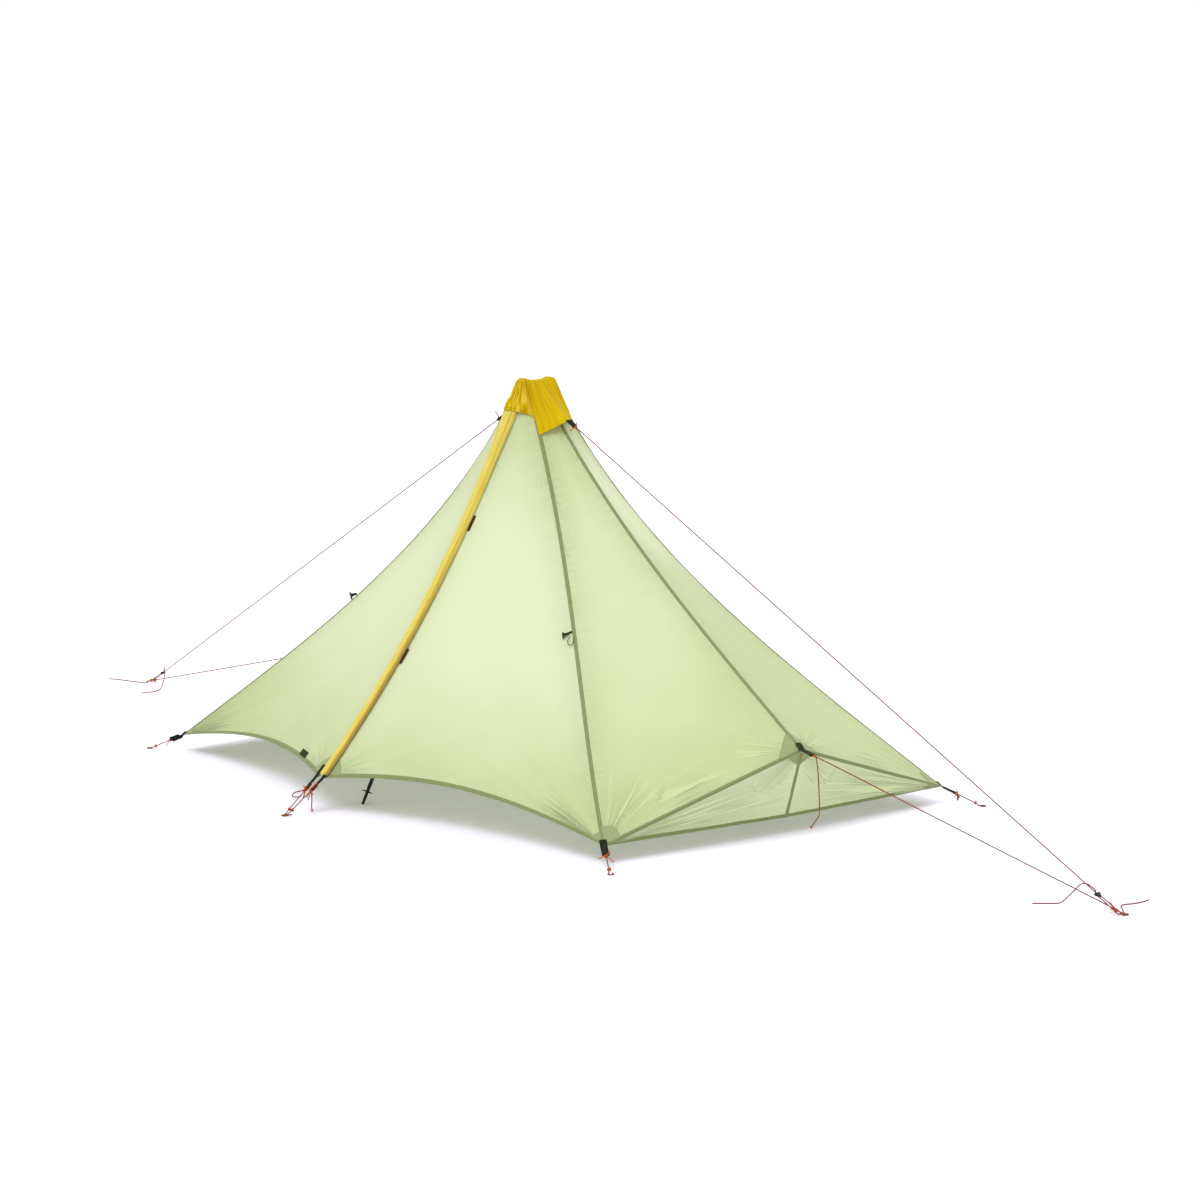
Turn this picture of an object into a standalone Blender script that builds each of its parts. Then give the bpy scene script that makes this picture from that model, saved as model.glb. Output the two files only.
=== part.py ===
"""A pyramid tent as it stands pitched: a single-skin fly of pale coated cloth over two trekking poles
that lean together as an A, a two-leaf door with one zip, and its guylines and peg cords.

Metres. +X runs to the foot end, -X to the head end, -Y is the front with the door, +Z is up.
The origin is on the ground, under the middle of the ridge."""

import math

import bmesh
import bpy
from mathutils import Matrix, Vector

# The pitched outline
RIDGE_HEIGHT = 1.200
CAP_RISE = 0.019
TOP_RING_HEIGHT = RIDGE_HEIGHT - CAP_RISE
TOP_RING_HALF_X = 0.022
TOP_RING_HIP_Y = 0.048
TOP_RING_MIDDLE_Y = 0.073
HALF_LENGTH = 1.097
HALF_WIDTH = 0.607
CORNER_HEIGHT = 0.050
MIDDLE_CORNER_Y = 0.790
MIDDLE_CORNER_HEIGHT = 0.095
RAISED_X = 1.192
RAISED_HEIGHT = 0.245
END_HEM_X = 1.124
END_HEM_HEIGHT = 0.048

# How far each seam hangs inside its straight line
HIP_SAG = 0.087
HIP_BOW = 0.035
END_SEAM_SAG = 0.053
MIDDLE_SAG = 0.055
HIP_SAG_SKEW_SHARE = 0.35
HIP_BOW_SKEW_SHARE = 0.82
HEM_RISE_SHARE = 0.05

# Cloth, and the gap that touching pieces keep
CLOTH = 0.0005
SEAM_GAP = 0.0003
ON_TOP_GAP = 0.0005
PANEL_ACROSS = 5
PANEL_DOWN = 10
END_MARGIN = 0.012

# The cap over the pole grips
CAP_CLOTH = 0.0008
CAP_LIFT = 0.0017
CAP_DIP = 0.004
CAP_MIDDLE_SHARE = 0.055
CAP_DOOR_HIP_SHARE = 0.100
CAP_HIP_SHARE = 0.068
CAP_END_SEAM_SHARE = 0.115
CAP_END_LIFT = 0.037
CAP_EDGE_POWER = 6
CAP_ROWS = 3
CAP_DOME_WIDTH_SHARES = (0.15, 0.45, 0.75)
CAP_DOME_HEIGHT_SHARES = (1.0, 0.9, 0.57)

# The door
DOOR_TOP_SHARE = 0.07
FOLD_HEM_SHARE = 0.14
FOLD_LIFT = 0.003
LEAF_START_SHARE = 0.05
ZIP_GAP_HALF = 0.0048
TAPE_HALF = 0.0045
TAPE_THICKNESS = 0.0008
COIL_HALF = 0.0020
COIL_HEIGHT = 0.0020
ZIP_TOP_SHARE = 0.09
ZIP_BOTTOM_SHARE = 0.985
ZIP_STEPS = 18
SLIDER_SHARE = 0.965
SLIDER_LENGTH = 0.014
SLIDER_HALF = 0.0040
SLIDER_HEIGHT = 0.0052
SLIDER_GAP = 0.0003
PULL_LENGTH = 0.020
PULL_HALF = 0.0022
PULL_THICKNESS = 0.0010
PULL_TUCK = 0.004
FLAP_WIDTH = 0.042
FLAP_CLOTH = 0.0008
FLAP_LIFT = 0.0014
FLAP_LEAF_SHARE = 0.8

# Webbing tabs
WEBBING = 0.0015
CORNER_TAB_WIDTH = 0.020
CORNER_TAB_LENGTH = 0.045
RAISED_TAB_WIDTH = 0.016
RAISED_TAB_LENGTH = 0.050
APEX_TAB_WIDTH = 0.012
APEX_TAB_LENGTH = 0.040
APEX_TAB_FORWARD = 0.0008
DOOR_TAB_WIDTH = 0.010
DOOR_TAB_LENGTH = 0.050
DOOR_TAB_SEWN = 0.040
DOOR_TAB_OFFSET = 0.012
TAB_START_GAP = 0.0008
REAR_TAB_LENGTH = 0.048

# Toggles that hold the rolled door
TOGGLE_SHARE = 0.525
TOGGLE_LENGTH = 0.024
TOGGLE_RADIUS = 0.0033
TOGGLE_TAB_WIDTH = 0.005
RIGHT_TOGGLE_REACH = 0.040
RIGHT_TOGGLE_DROP = 0.026
LEFT_TOGGLE_OUT = 0.028
LEFT_TOGGLE_DROP = 0.007
LEFT_TOGGLE_TILT_SHARE = 0.3
TOGGLE_LIFT = 0.0055
TOGGLE_START = 0.0058
TOGGLE_LOOP_WIDTH = 0.012
TOGGLE_LOOP_REACH = 0.032
TOGGLE_LOOP_START = 0.022

# Trekking poles, measured up the pole from its tip
POLE_FOOT_Y = 0.646
POLE_TOP_Y = 0.047
TIP_POINT_RADIUS = 0.0040
TIP_LENGTH = 0.070
TIP_RADIUS = 0.0058
BASKET_HEIGHT = 0.040
BASKET_RADIUS = 0.016
BASKET_THICKNESS = 0.002
BASKET_SLOPE = 0.0015
SPIGOT_LENGTH = 0.020
TUBE_WALL = 0.0008
LOWER_RADIUS = 0.0055
LOWER_LENGTH = 0.700
UPPER_BOTTOM = 0.620
UPPER_RADIUS = 0.0070
UPPER_IN_GRIP = 0.080
GRIP_LENGTH = 0.165
GRIP_RADIUS = 0.0130
GRIP_WAIST_RADIUS = 0.0115
GRIP_END_RADIUS = 0.0125
GRIP_DOME_RADIUS = 0.0135
GRIP_HEADROOM = 0.0008
POLE_GAP = 0.0003
CLAMP_LENGTH = 0.045
CLAMP_RADIUS = 0.0120
CLAMP_START = 0.010
EAR_THICKNESS = 0.006
EAR_REACH = 0.009
EAR_HALF = 0.0045
LEVER_PIN_RADIUS = 0.0015
LEVER_PIN_GAP = 0.0002
LEVER_BARREL_RADIUS = 0.0035
LEVER_THICKNESS = 0.0030
LEVER_LENGTH = 0.030
LEVER_GAP = 0.0006
TURNED_STEPS = 16
PIN_STEPS = 12

# Cords
CORD_RADIUS = 0.0016
CORD_REST = 0.0017
LOOP_CORD_RADIUS = 0.00125
PEG_DISTANCE = 2.378
PEG_OUT = 0.123
MIDDLE_PEG_Y = 0.907
PEG_EYE_RADIUS = 0.008
EYE_TURN_SHARE = 0.75
EYE_SPANS = 6
LOCK_DISTANCE = 0.0765
LOCK_LENGTH = 0.018
LOCK_WIDTH = 0.016
LOCK_THICKNESS = 0.008
LOCK_BORE_RADIUS = 0.0021
LOCK_CORD_OFFSET = 0.0045
TWO_CORDS_APART = 0.014
CORD_END_GAP = 0.0004

# Cutters run past what they cut by this much
OVERRUN = 0.010

SPAN_STEPS = 3
DEEP_CUT = 0.1


def clear_scene():
    for old in list(bpy.data.objects):
        bpy.data.objects.remove(old)


def new_collection(name, hidden=False):
    made = bpy.data.collections.new(name)
    bpy.context.scene.collection.children.link(made)
    made.hide_render = hidden
    return made


def material(name, colour, roughness, metallic=0.0, alpha=1.0):
    made = bpy.data.materials.new(name)
    made.use_nodes = True
    shader = made.node_tree.nodes["Principled BSDF"]
    shader.inputs["Base Color"].default_value = (*colour, 1.0)
    shader.inputs["Roughness"].default_value = roughness
    shader.inputs["Metallic"].default_value = metallic
    shader.inputs["Alpha"].default_value = alpha
    made.diffuse_color = (*colour, alpha)
    return made


clear_scene()
TENT = new_collection("pyramid_tent")
CUTTERS = new_collection("cutters", hidden=True)
MATERIALS = {
    "fly_cloth": material("fly_cloth", (0.72, 0.84, 0.50), 0.45),
    "cap_cloth": material("cap_cloth", (0.62, 0.45, 0.02), 0.60),
    "flap_cloth": material("flap_cloth", (0.90, 0.62, 0.08), 0.55),
    "webbing": material("webbing", (0.05, 0.06, 0.03), 0.80),
    "zip_tape": material("zip_tape", (0.20, 0.12, 0.04), 0.70),
    "dark_plastic": material("dark_plastic", (0.02, 0.02, 0.02), 0.45),
    "zinc": material("zinc", (0.45, 0.42, 0.38), 0.35, metallic=1.0),
    "pole_tube": material("pole_tube", (0.10, 0.11, 0.12), 0.35, metallic=1.0),
    "grip_foam": material("grip_foam", (0.03, 0.03, 0.03), 0.90),
    "cord": material("cord", (0.75, 0.22, 0.03), 0.70),
}


def add(obj, slot, parent=None):
    """Puts an object in the tent's collection with its material, under a parent if it has one."""
    TENT.objects.link(obj)
    obj.data.materials.append(MATERIALS[slot])
    obj.parent = parent
    return obj


def add_cutter(obj):
    CUTTERS.objects.link(obj)
    obj.hide_render = True
    obj.display_type = "WIRE"
    return obj


def object_from(name, bm):
    mesh = bpy.data.meshes.new(name)
    bm.to_mesh(mesh)
    bm.free()
    return bpy.data.objects.new(name, mesh)


def boolean(obj, other, operation):
    step = obj.modifiers.new(f"{operation.lower()} {other.name}", "BOOLEAN")
    step.operation = operation
    step.object = other
    step.solver = "EXACT"


# Seams: each is a function of the share of the way down from the ridge


def outward_normal(along):
    """The direction square to a sloping line that points out and up."""
    level = Vector((along.x, along.y, 0)).normalized()
    unit = along.normalized()
    return (level - unit * level.dot(unit)).normalized()


def hump(share, skew_share):
    return 4 * share * (1 - share) * (1 + skew_share * (1 - 2 * share))


def hip(side_x, side_y):
    """A corner seam: it hangs inside its straight line and bows towards the end of the tent."""
    top = Vector((side_x * TOP_RING_HALF_X, side_y * TOP_RING_HIP_Y, TOP_RING_HEIGHT))
    foot = Vector((side_x * HALF_LENGTH, side_y * HALF_WIDTH, CORNER_HEIGHT))
    along = foot - top
    inward = -outward_normal(along)
    sideways = Vector((abs(along.y) * side_x, -abs(along.x) * side_y, 0)).normalized()

    def at(share):
        sag = inward * HIP_SAG * hump(share, HIP_SAG_SKEW_SHARE)
        bow = sideways * HIP_BOW * hump(share, HIP_BOW_SKEW_SHARE)
        return top + along * share + sag + bow

    return at


def end_seam(side_x):
    """The seam up the middle of an end panel, to the raised guyline point."""
    top = Vector((side_x * TOP_RING_HALF_X, 0, TOP_RING_HEIGHT))
    foot = Vector((side_x * RAISED_X, 0, RAISED_HEIGHT))
    along = foot - top
    inward = -outward_normal(along)
    return lambda share: top + along * share + inward * END_SEAM_SAG * hump(share, HIP_SAG_SKEW_SHARE)


def middle_arc_centre(side_y):
    """Centre, radius, and the first and last angles in the Y-Z plane of a middle seam's arc."""
    top = Vector((0, side_y * TOP_RING_MIDDLE_Y, TOP_RING_HEIGHT))
    foot = Vector((0, side_y * MIDDLE_CORNER_Y, MIDDLE_CORNER_HEIGHT))
    along = foot - top
    radius = along.length_squared / (8 * MIDDLE_SAG) + MIDDLE_SAG / 2
    centre = (top + foot) / 2 + outward_normal(along) * (radius - MIDDLE_SAG)
    first, last = (math.atan2(p.z - centre.z, p.y - centre.y) for p in (top, foot))
    if last - first > math.pi:
        last -= 2 * math.pi
    if first - last > math.pi:
        last += 2 * math.pi
    return centre, radius, first, last


def middle_arc(side_y):
    """The zip's line at the front and the middle seam at the back: an arc in the plane X = 0."""
    centre, radius, first, last = middle_arc_centre(side_y)

    def at(share):
        angle = first + (last - first) * share
        return centre + Vector((0, math.cos(angle), math.sin(angle))) * radius

    return at


def steps(first, last, count):
    return [first + (last - first) * i / count for i in range(count + 1)]


def row_shares(last=1.0):
    """How far down the seams a panel's rows lie. One row is level with the top of the door."""
    return [0.0] + steps(DOOR_TOP_SHARE, last, PANEL_DOWN)


def hem_share(across):
    """Where the hem of a front or rear panel lies, as a share of the way down."""
    return 1 - HEM_RISE_SHARE * 4 * across * (1 - across)


def hem_drawn(across, down):
    """A row's share of the way down, drawn up towards the hem's rise in its lower part."""
    return down * (1 - (1 - hem_share(across)) * down)


def ruled(first, second, across, share):
    """A point of the panel between two seams, clear of both by the seam gap."""
    a, b = first(share), second(share)
    inset = (b - a).normalized() * SEAM_GAP
    return (a + inset).lerp(b - inset, across)


def faceted(seam, share):
    """A point of the seam as the panels' rows cut it into straight runs."""
    rows = row_shares()
    below = next(row for row in rows[1:] if row >= share)
    above = rows[rows.index(below) - 1]
    return seam(above).lerp(seam(below), (share - above) / (below - above))


# Cloth


def sheet_mesh(rows):
    """A sheet through rows of points, with its faces turned away from the inside of the tent."""
    bm = bmesh.new()
    grid = [[bm.verts.new(p) for p in row] for row in rows]
    for upper, lower in zip(grid, grid[1:]):
        for i in range(len(upper) - 1):
            bm.faces.new((upper[i], lower[i], lower[i + 1], upper[i + 1]))
    bm.normal_update()
    inside = Vector((0, 0, RAISED_HEIGHT))
    if sum((f.calc_center_median() - inside).dot(f.normal) for f in bm.faces) < 0:
        bmesh.ops.reverse_faces(bm, faces=bm.faces)
    bm.normal_update()
    return bm


def cloth(name, rows, slot="fly_cloth", thickness=CLOTH, lift=0.0):
    """A cloth panel, thickened outwards from its grid, or from a level that lies lift above it."""
    bm = sheet_mesh(rows)
    if lift:
        normals = [v.normal.copy() for v in bm.verts]
        for vert, normal in zip(bm.verts, normals):
            vert.co += normal * lift
    obj = object_from(name, bm)
    obj.data.shade_smooth()
    add(obj, slot)
    solid = obj.modifiers.new("thickness", "SOLIDIFY")
    solid.thickness = thickness
    solid.offset = 1
    return obj


def end_panels(side_x, end):
    """The two upper panels and the lower panel of one end."""
    seam = end_seam(side_x)
    for side_y, half in ((-1, "front"), (1, "back")):
        corner = hip(side_x, side_y)
        last = 1 - SEAM_GAP / (seam(1) - seam(0)).length
        rows = [
            [ruled(corner, seam, across, share) for across in steps(0, 1, PANEL_ACROSS)]
            for share in row_shares(last)
        ]
        cloth(f"{end}_{half}_panel", rows)
    lower_panel(side_x, end)


def lower_panel(side_x, end):
    """The low panel under the raised point, between the corners and the hem."""
    raised = Vector((side_x * RAISED_X, 0, RAISED_HEIGHT))
    middle = Vector((side_x * END_HEM_X, 0, END_HEM_HEIGHT))
    rows = [[], [], []]
    for across in steps(-1, 1, 2 * PANEL_ACROSS):
        corner = Vector((side_x * HALF_LENGTH, math.copysign(HALF_WIDTH, across), CORNER_HEIGHT))
        near = 1 - END_MARGIN / HALF_WIDTH
        top = raised.lerp(corner, abs(across) * near)
        hem = middle.lerp(corner, abs(across) * near)
        top += (hem - top).normalized() * SEAM_GAP
        for row, share in zip(rows, steps(0, 1, len(rows) - 1)):
            row.append(top.lerp(hem, share))
    cloth(f"{end}_lower_panel", rows)


def rear_panel(side_x, end):
    rows = [
        [
            ruled(hip(side_x, 1), middle_arc(1), across, hem_drawn(across, down))
            for across in steps(0, 1, PANEL_ACROSS)
        ]
        for down in row_shares()
    ]
    cloth(f"rear_{end}_panel", rows)


# The front: a fixed panel by each hip, and a door leaf that folds back about a straight line


class Front:
    """One side of the front. side is +1 at the foot end and -1 at the head end."""

    def __init__(self, side):
        self.side = side
        self.hip = hip(side, -1)
        self.zip = middle_arc(-1)
        self.door_top = self.zip(DOOR_TOP_SHARE)
        self.hem_point = ruled(self.hip, self.zip, FOLD_HEM_SHARE, hem_share(FOLD_HEM_SHARE))
        corner, lowest = self.hip(1), self.zip(1)
        normal = (corner - self.door_top).cross(lowest - self.door_top).normalized()
        self.normal = normal if normal.y < 0 else -normal
        self.fold = (self.hem_point - self.door_top).normalized()
        sideways = self.fold.cross(self.normal)
        self.to_zip = sideways if sideways.x * side < 0 else -sideways

    def cut(self, share):
        """How far across the panel its fold line lies, at this share of the way down."""
        a, b = self.hip(share), self.zip(share)
        return (self.door_top - a).dot(self.to_zip) / (b - a).dot(self.to_zip)

    def fixed_point(self, across, down):
        """A point of the fixed panel: down runs to 1 at the door's top, and on to 2 at the hem."""
        if down <= 1:
            return ruled(self.hip, self.zip, across, DOOR_TOP_SHARE * down)
        hem = hem_share(FOLD_HEM_SHARE * across)
        share = DOOR_TOP_SHARE + (hem - DOOR_TOP_SHARE) * (down - 1)
        end = DOOR_TOP_SHARE + (hem_share(FOLD_HEM_SHARE) - DOOR_TOP_SHARE) * (down - 1)
        point = ruled(self.hip, self.zip, across * self.cut(end), share)
        return point - self.to_zip * SEAM_GAP * across

    def leaf_point(self, across, down):
        """A point of the door leaf: across runs from the fold to the zip, down from top to hem."""
        hem = FOLD_HEM_SHARE + (1 - FOLD_HEM_SHARE) * across
        share = DOOR_TOP_SHARE + (hem_share(hem) - DOOR_TOP_SHARE) * down
        end = DOOR_TOP_SHARE + (hem_share(FOLD_HEM_SHARE) - DOOR_TOP_SHARE) * down
        fold = self.cut(end)
        a, b = self.hip(share), self.zip(share)
        width = (b - a).length
        last = 1 - ZIP_GAP_HALF / width
        point = ruled(self.hip, self.zip, fold + (last - fold) * across, share)
        return point + self.to_zip * SEAM_GAP * (1 - across)

    def leaf_rows(self):
        return steps(LEAF_START_SHARE, 1, PANEL_DOWN)

    def leaf_width(self, down):
        return (self.leaf_point(1, down) - self.leaf_point(0, down)).length

    def beside_zip(self, distance, down):
        """A point of the leaf at a distance from its zip edge."""
        return self.leaf_point(1 - distance / self.leaf_width(down), down)


def front_panels():
    for side, end, door in ((1, "foot", "right"), (-1, "head", "left")):
        front = Front(side)
        downs = steps(0, 1, 1)[:-1] + steps(1, 2, PANEL_DOWN)
        rows = [[front.fixed_point(a, d) for a in steps(0, 1, PANEL_ACROSS)] for d in downs]
        cloth(f"{end}_front_fixed_panel", rows)
        rows = [
            [front.leaf_point(a, d) for a in steps(0, 1, PANEL_ACROSS)]
            for d in front.leaf_rows()
        ]
        cloth(f"{door}_door_panel", rows)


def storm_flap():
    """The strip over the zip, sewn to the left leaf beside the teeth."""
    front = Front(-1)
    rows = []
    for down in front.leaf_rows():
        width = min(FLAP_WIDTH, front.leaf_width(down) * FLAP_LEAF_SHARE)
        rows.append([front.beside_zip(width * (1 - a), down) for a in steps(0, 1, 2)])
    cloth("storm_flap", rows, "flap_cloth", FLAP_CLOTH, FLAP_LIFT)


# Pieces swept along a line


def swept(name, section, frames, slot, parent=None):
    """A closed solid whose section, in (across, out), is carried along frames of (centre, across, out)."""
    bm = bmesh.new()
    rings = [
        [bm.verts.new(centre + across * u + out * v) for u, v in section]
        for centre, across, out in frames
    ]
    count = len(section)
    for a, b in zip(rings, rings[1:]):
        for i in range(count):
            bm.faces.new((a[i], a[(i + 1) % count], b[(i + 1) % count], b[i]))
    bm.faces.new(reversed(rings[0]))
    bm.faces.new(rings[-1])
    bmesh.ops.recalc_face_normals(bm, faces=bm.faces)
    return add(object_from(name, bm), slot, parent)


def band(width, thickness, floor=0.0):
    """The section of a flat strap."""
    half = width / 2
    return [(-half, floor), (half, floor), (half, floor + thickness), (-half, floor + thickness)]


def strap(name, points, across, width, thickness=WEBBING, slot="webbing"):
    """A flat strap through points, with its width along one direction."""
    frames = []
    for i, point in enumerate(points):
        along = points[min(i + 1, len(points) - 1)] - points[max(i - 1, 0)]
        flat = (across - along.normalized() * across.dot(along.normalized())).normalized()
        out = flat.cross(along).normalized()
        frames.append((point, flat, out if out.z >= 0 else -out))
    return swept(name, band(width, thickness, -thickness / 2), frames, slot)


def zip_frame(share):
    """Centre, across and outward directions of the zip at a share of its arc."""
    centre, radius, first, last = middle_arc_centre(-1)
    point = middle_arc(-1)(share)
    return point, Vector((1, 0, 0)), (centre - point).normalized()


def zip_chain():
    """The tape with its coil, sewn to the left leaf."""
    section = [
        (-TAPE_HALF, 0),
        (TAPE_HALF, 0),
        (TAPE_HALF, TAPE_THICKNESS),
        (COIL_HALF, TAPE_THICKNESS),
        (COIL_HALF, TAPE_THICKNESS + COIL_HEIGHT),
        (-COIL_HALF, TAPE_THICKNESS + COIL_HEIGHT),
        (-COIL_HALF, TAPE_THICKNESS),
        (-TAPE_HALF, TAPE_THICKNESS),
    ]
    frames = [zip_frame(share) for share in steps(ZIP_TOP_SHARE, ZIP_BOTTOM_SHARE, ZIP_STEPS)]
    swept("zip_chain", section, frames, "zip_tape")


def zip_slider():
    """A slider that straddles the coil, with its pull tab lying down over the coil."""
    point, across, out = zip_frame(SLIDER_SHARE)
    along = across.cross(out).normalized()
    along = along if along.z < 0 else -along
    inner = COIL_HALF + SLIDER_GAP
    floor = TAPE_THICKNESS + SLIDER_GAP
    roof = TAPE_THICKNESS + COIL_HEIGHT + SLIDER_GAP
    section = [
        (-SLIDER_HALF, floor),
        (-inner, floor),
        (-inner, roof),
        (inner, roof),
        (inner, floor),
        (SLIDER_HALF, floor),
        (SLIDER_HALF, SLIDER_HEIGHT),
        (-SLIDER_HALF, SLIDER_HEIGHT),
    ]
    ends = [(point + along * SLIDER_LENGTH * s, across, out) for s in (-0.5, 0.5)]
    slider = swept("zip_slider", section, ends, "zinc")
    start = SLIDER_LENGTH / 2 - PULL_TUCK
    level = (roof + SLIDER_HEIGHT) / 2
    pull_ends = [(point + along * (start + PULL_LENGTH * s), across, out) for s in (0, 1)]
    pull = swept("pull_tab", band(2 * PULL_HALF, PULL_THICKNESS, level), pull_ends, "zinc")
    TENT.objects.unlink(pull)
    boolean(slider, add_cutter(pull), "UNION")


# The cap


def cap_end(side_x):
    """The ridge of the cap's end, which its guyline pulls straight, off the hollow seam below it."""
    seam = end_seam(side_x)
    out = outward_normal(seam(1) - seam(0))
    return lambda share: seam(share) + out * CAP_END_LIFT * share / CAP_END_SEAM_SHARE


def cap_edge(low, next_low, across):
    """How far down the cap's edge lies. Beside the middle seam it stays level and drops near the hip."""
    if low == CAP_MIDDLE_SHARE:
        return low + (next_low - low) * across**CAP_EDGE_POWER
    if next_low == CAP_MIDDLE_SHARE:
        return next_low + (low - next_low) * (1 - across) ** CAP_EDGE_POWER
    return low + (next_low - low) * across


def cap_seams():
    """The eight seams round the tent in order, each with how far down the cap covers it."""
    return [
        (middle_arc(-1), CAP_MIDDLE_SHARE),
        (hip(1, -1), CAP_DOOR_HIP_SHARE),
        (cap_end(1), CAP_END_SEAM_SHARE),
        (hip(1, 1), CAP_HIP_SHARE),
        (middle_arc(1), CAP_MIDDLE_SHARE),
        (hip(-1, 1), CAP_HIP_SHARE),
        (cap_end(-1), CAP_END_SEAM_SHARE),
        (hip(-1, -1), CAP_HIP_SHARE),
    ]


def cap_ring(down):
    """A ring of points round the fly, at a share of the cap's depth."""
    seams = cap_seams()
    ring = []
    for (first, low), (second, next_low) in zip(seams, seams[1:] + seams[:1]):
        for across in steps(0, 1, PANEL_ACROSS)[:-1]:
            share = cap_edge(low, next_low, across) * down
            ring.append(faceted(first, share).lerp(faceted(second, share), across))
    return ring


def apex_cap():
    """A cap with two humps over the pole grips, which covers the top of every seam."""
    top = RIDGE_HEIGHT - CAP_CLOTH - CAP_LIFT
    base = cap_ring(0)
    rows = []
    for width_share, height_share in zip(CAP_DOME_WIDTH_SHARES, CAP_DOME_HEIGHT_SHARES):
        ring = []
        for point in base:
            ridge = Vector((0, max(-POLE_TOP_Y, min(POLE_TOP_Y, point.y)), TOP_RING_HEIGHT))
            dip = CAP_DIP * (1 - (ridge.y / POLE_TOP_Y) ** 2)
            placed = ridge.lerp(point, width_share)
            placed.z = TOP_RING_HEIGHT + (top - TOP_RING_HEIGHT) * height_share - dip
            ring.append(placed)
        rows.append(ring)
    rows += [cap_ring(down) for down in steps(0, 1, CAP_ROWS)]
    bm = bmesh.new()
    grid = [[bm.verts.new(p) for p in ring] for ring in rows]
    count = len(base)
    for upper, lower in zip(grid, grid[1:]):
        for i in range(count):
            j = (i + 1) % count
            bm.faces.new((upper[i], lower[i], lower[j], upper[j]))
    bm.faces.new(grid[0])
    bmesh.ops.recalc_face_normals(bm, faces=bm.faces)
    if sum(f.normal.z for f in bm.faces) < 0:
        bmesh.ops.reverse_faces(bm, faces=bm.faces)
    bm.normal_update()
    normals = [v.normal.copy() for v in bm.verts]
    for vert, normal in zip(bm.verts, normals):
        vert.co += normal * CAP_LIFT
    obj = object_from("apex_cap", bm)
    obj.data.shade_smooth()
    add(obj, "cap_cloth")
    solid = obj.modifiers.new("thickness", "SOLIDIFY")
    solid.thickness = CAP_CLOTH
    solid.offset = 1


# Webbing tabs, and where their cords begin


def peg_direction(start, peg):
    return (peg - start).normalized()


def corner_peg(side_x, side_y):
    out = Vector((side_x * HALF_LENGTH, side_y * HALF_WIDTH, 0)).normalized()
    return Vector((side_x * HALF_LENGTH, side_y * HALF_WIDTH, 0)) + out * PEG_OUT


def corner_point(side_x, side_y):
    return Vector((side_x * HALF_LENGTH, side_y * HALF_WIDTH, CORNER_HEIGHT))


def level_across(along):
    return Vector((0, 0, 1)).cross(along).normalized()


def direction_frame(centre, across, way):
    """A placement with X across, Y along the way and Z out of the face."""
    out = across.cross(way)
    frame = Matrix.Identity(4)
    for column, axis in enumerate((across, way, out)):
        frame.col[column] = (*axis, 0)
    frame.translation = centre
    return frame


def straight_tab(name, start, way, width, length):
    """A flat tab of webbing that runs from a seam's end. It returns the middle of its far end."""
    bm = bmesh.new()
    bmesh.ops.create_cube(bm, size=1)
    bmesh.ops.scale(bm, vec=(width, length - TAB_START_GAP, WEBBING), verts=bm.verts)
    tab = add(object_from(name, bm), "webbing")
    middle = start + way * (length + TAB_START_GAP) / 2
    tab.matrix_world = direction_frame(middle, level_across(way), way)
    return start + way * length


def corner_tabs():
    """A webbing tab at each corner. It returns where each tab ends, and its peg."""
    ends = {}
    for side_x, end in ((1, "foot"), (-1, "head")):
        for side_y, half in ((-1, "front"), (1, "back")):
            start, peg = corner_point(side_x, side_y), corner_peg(side_x, side_y)
            way = peg_direction(start, peg)
            name = f"{end}_{half}_corner"
            ends[name] = straight_tab(f"{name}_tab", start, way, CORNER_TAB_WIDTH, CORNER_TAB_LENGTH), peg
    start = Vector((0, MIDDLE_CORNER_Y, MIDDLE_CORNER_HEIGHT))
    peg = Vector((0, MIDDLE_PEG_Y, 0))
    way = peg_direction(start, peg)
    ends["rear_corner"] = straight_tab("rear_corner_tab", start, way, CORNER_TAB_WIDTH, REAR_TAB_LENGTH), peg
    return ends


def guy_tabs():
    """The tabs of the two long guylines at the cap and of the two at the raised points."""
    ends = {}
    for side_x, end in ((1, "foot"), (-1, "head")):
        start = faceted(cap_end(side_x), CAP_END_SEAM_SHARE)
        start += outward_normal(end_seam(side_x)(1) - end_seam(side_x)(0)) * (CLOTH + CAP_LIFT)
        peg = Vector((side_x * PEG_DISTANCE, -side_x * TWO_CORDS_APART / 2, CORD_REST))
        start.y = peg.y
        way = peg_direction(start, peg)
        start += way * APEX_TAB_FORWARD
        tab_end = straight_tab(f"{end}_apex_tab", start, way, APEX_TAB_WIDTH, APEX_TAB_LENGTH)
        ends[f"{end}_apex"] = tab_end, peg
        start = Vector((side_x * RAISED_X, 0, RAISED_HEIGHT))
        peg = Vector((side_x * PEG_DISTANCE, side_x * TWO_CORDS_APART / 2, CORD_REST))
        way = peg_direction(start, peg)
        tab_end = straight_tab(f"{end}_raised_tab", start, way, RAISED_TAB_WIDTH, RAISED_TAB_LENGTH)
        ends[f"{end}_raised"] = tab_end, peg
    return ends


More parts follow.
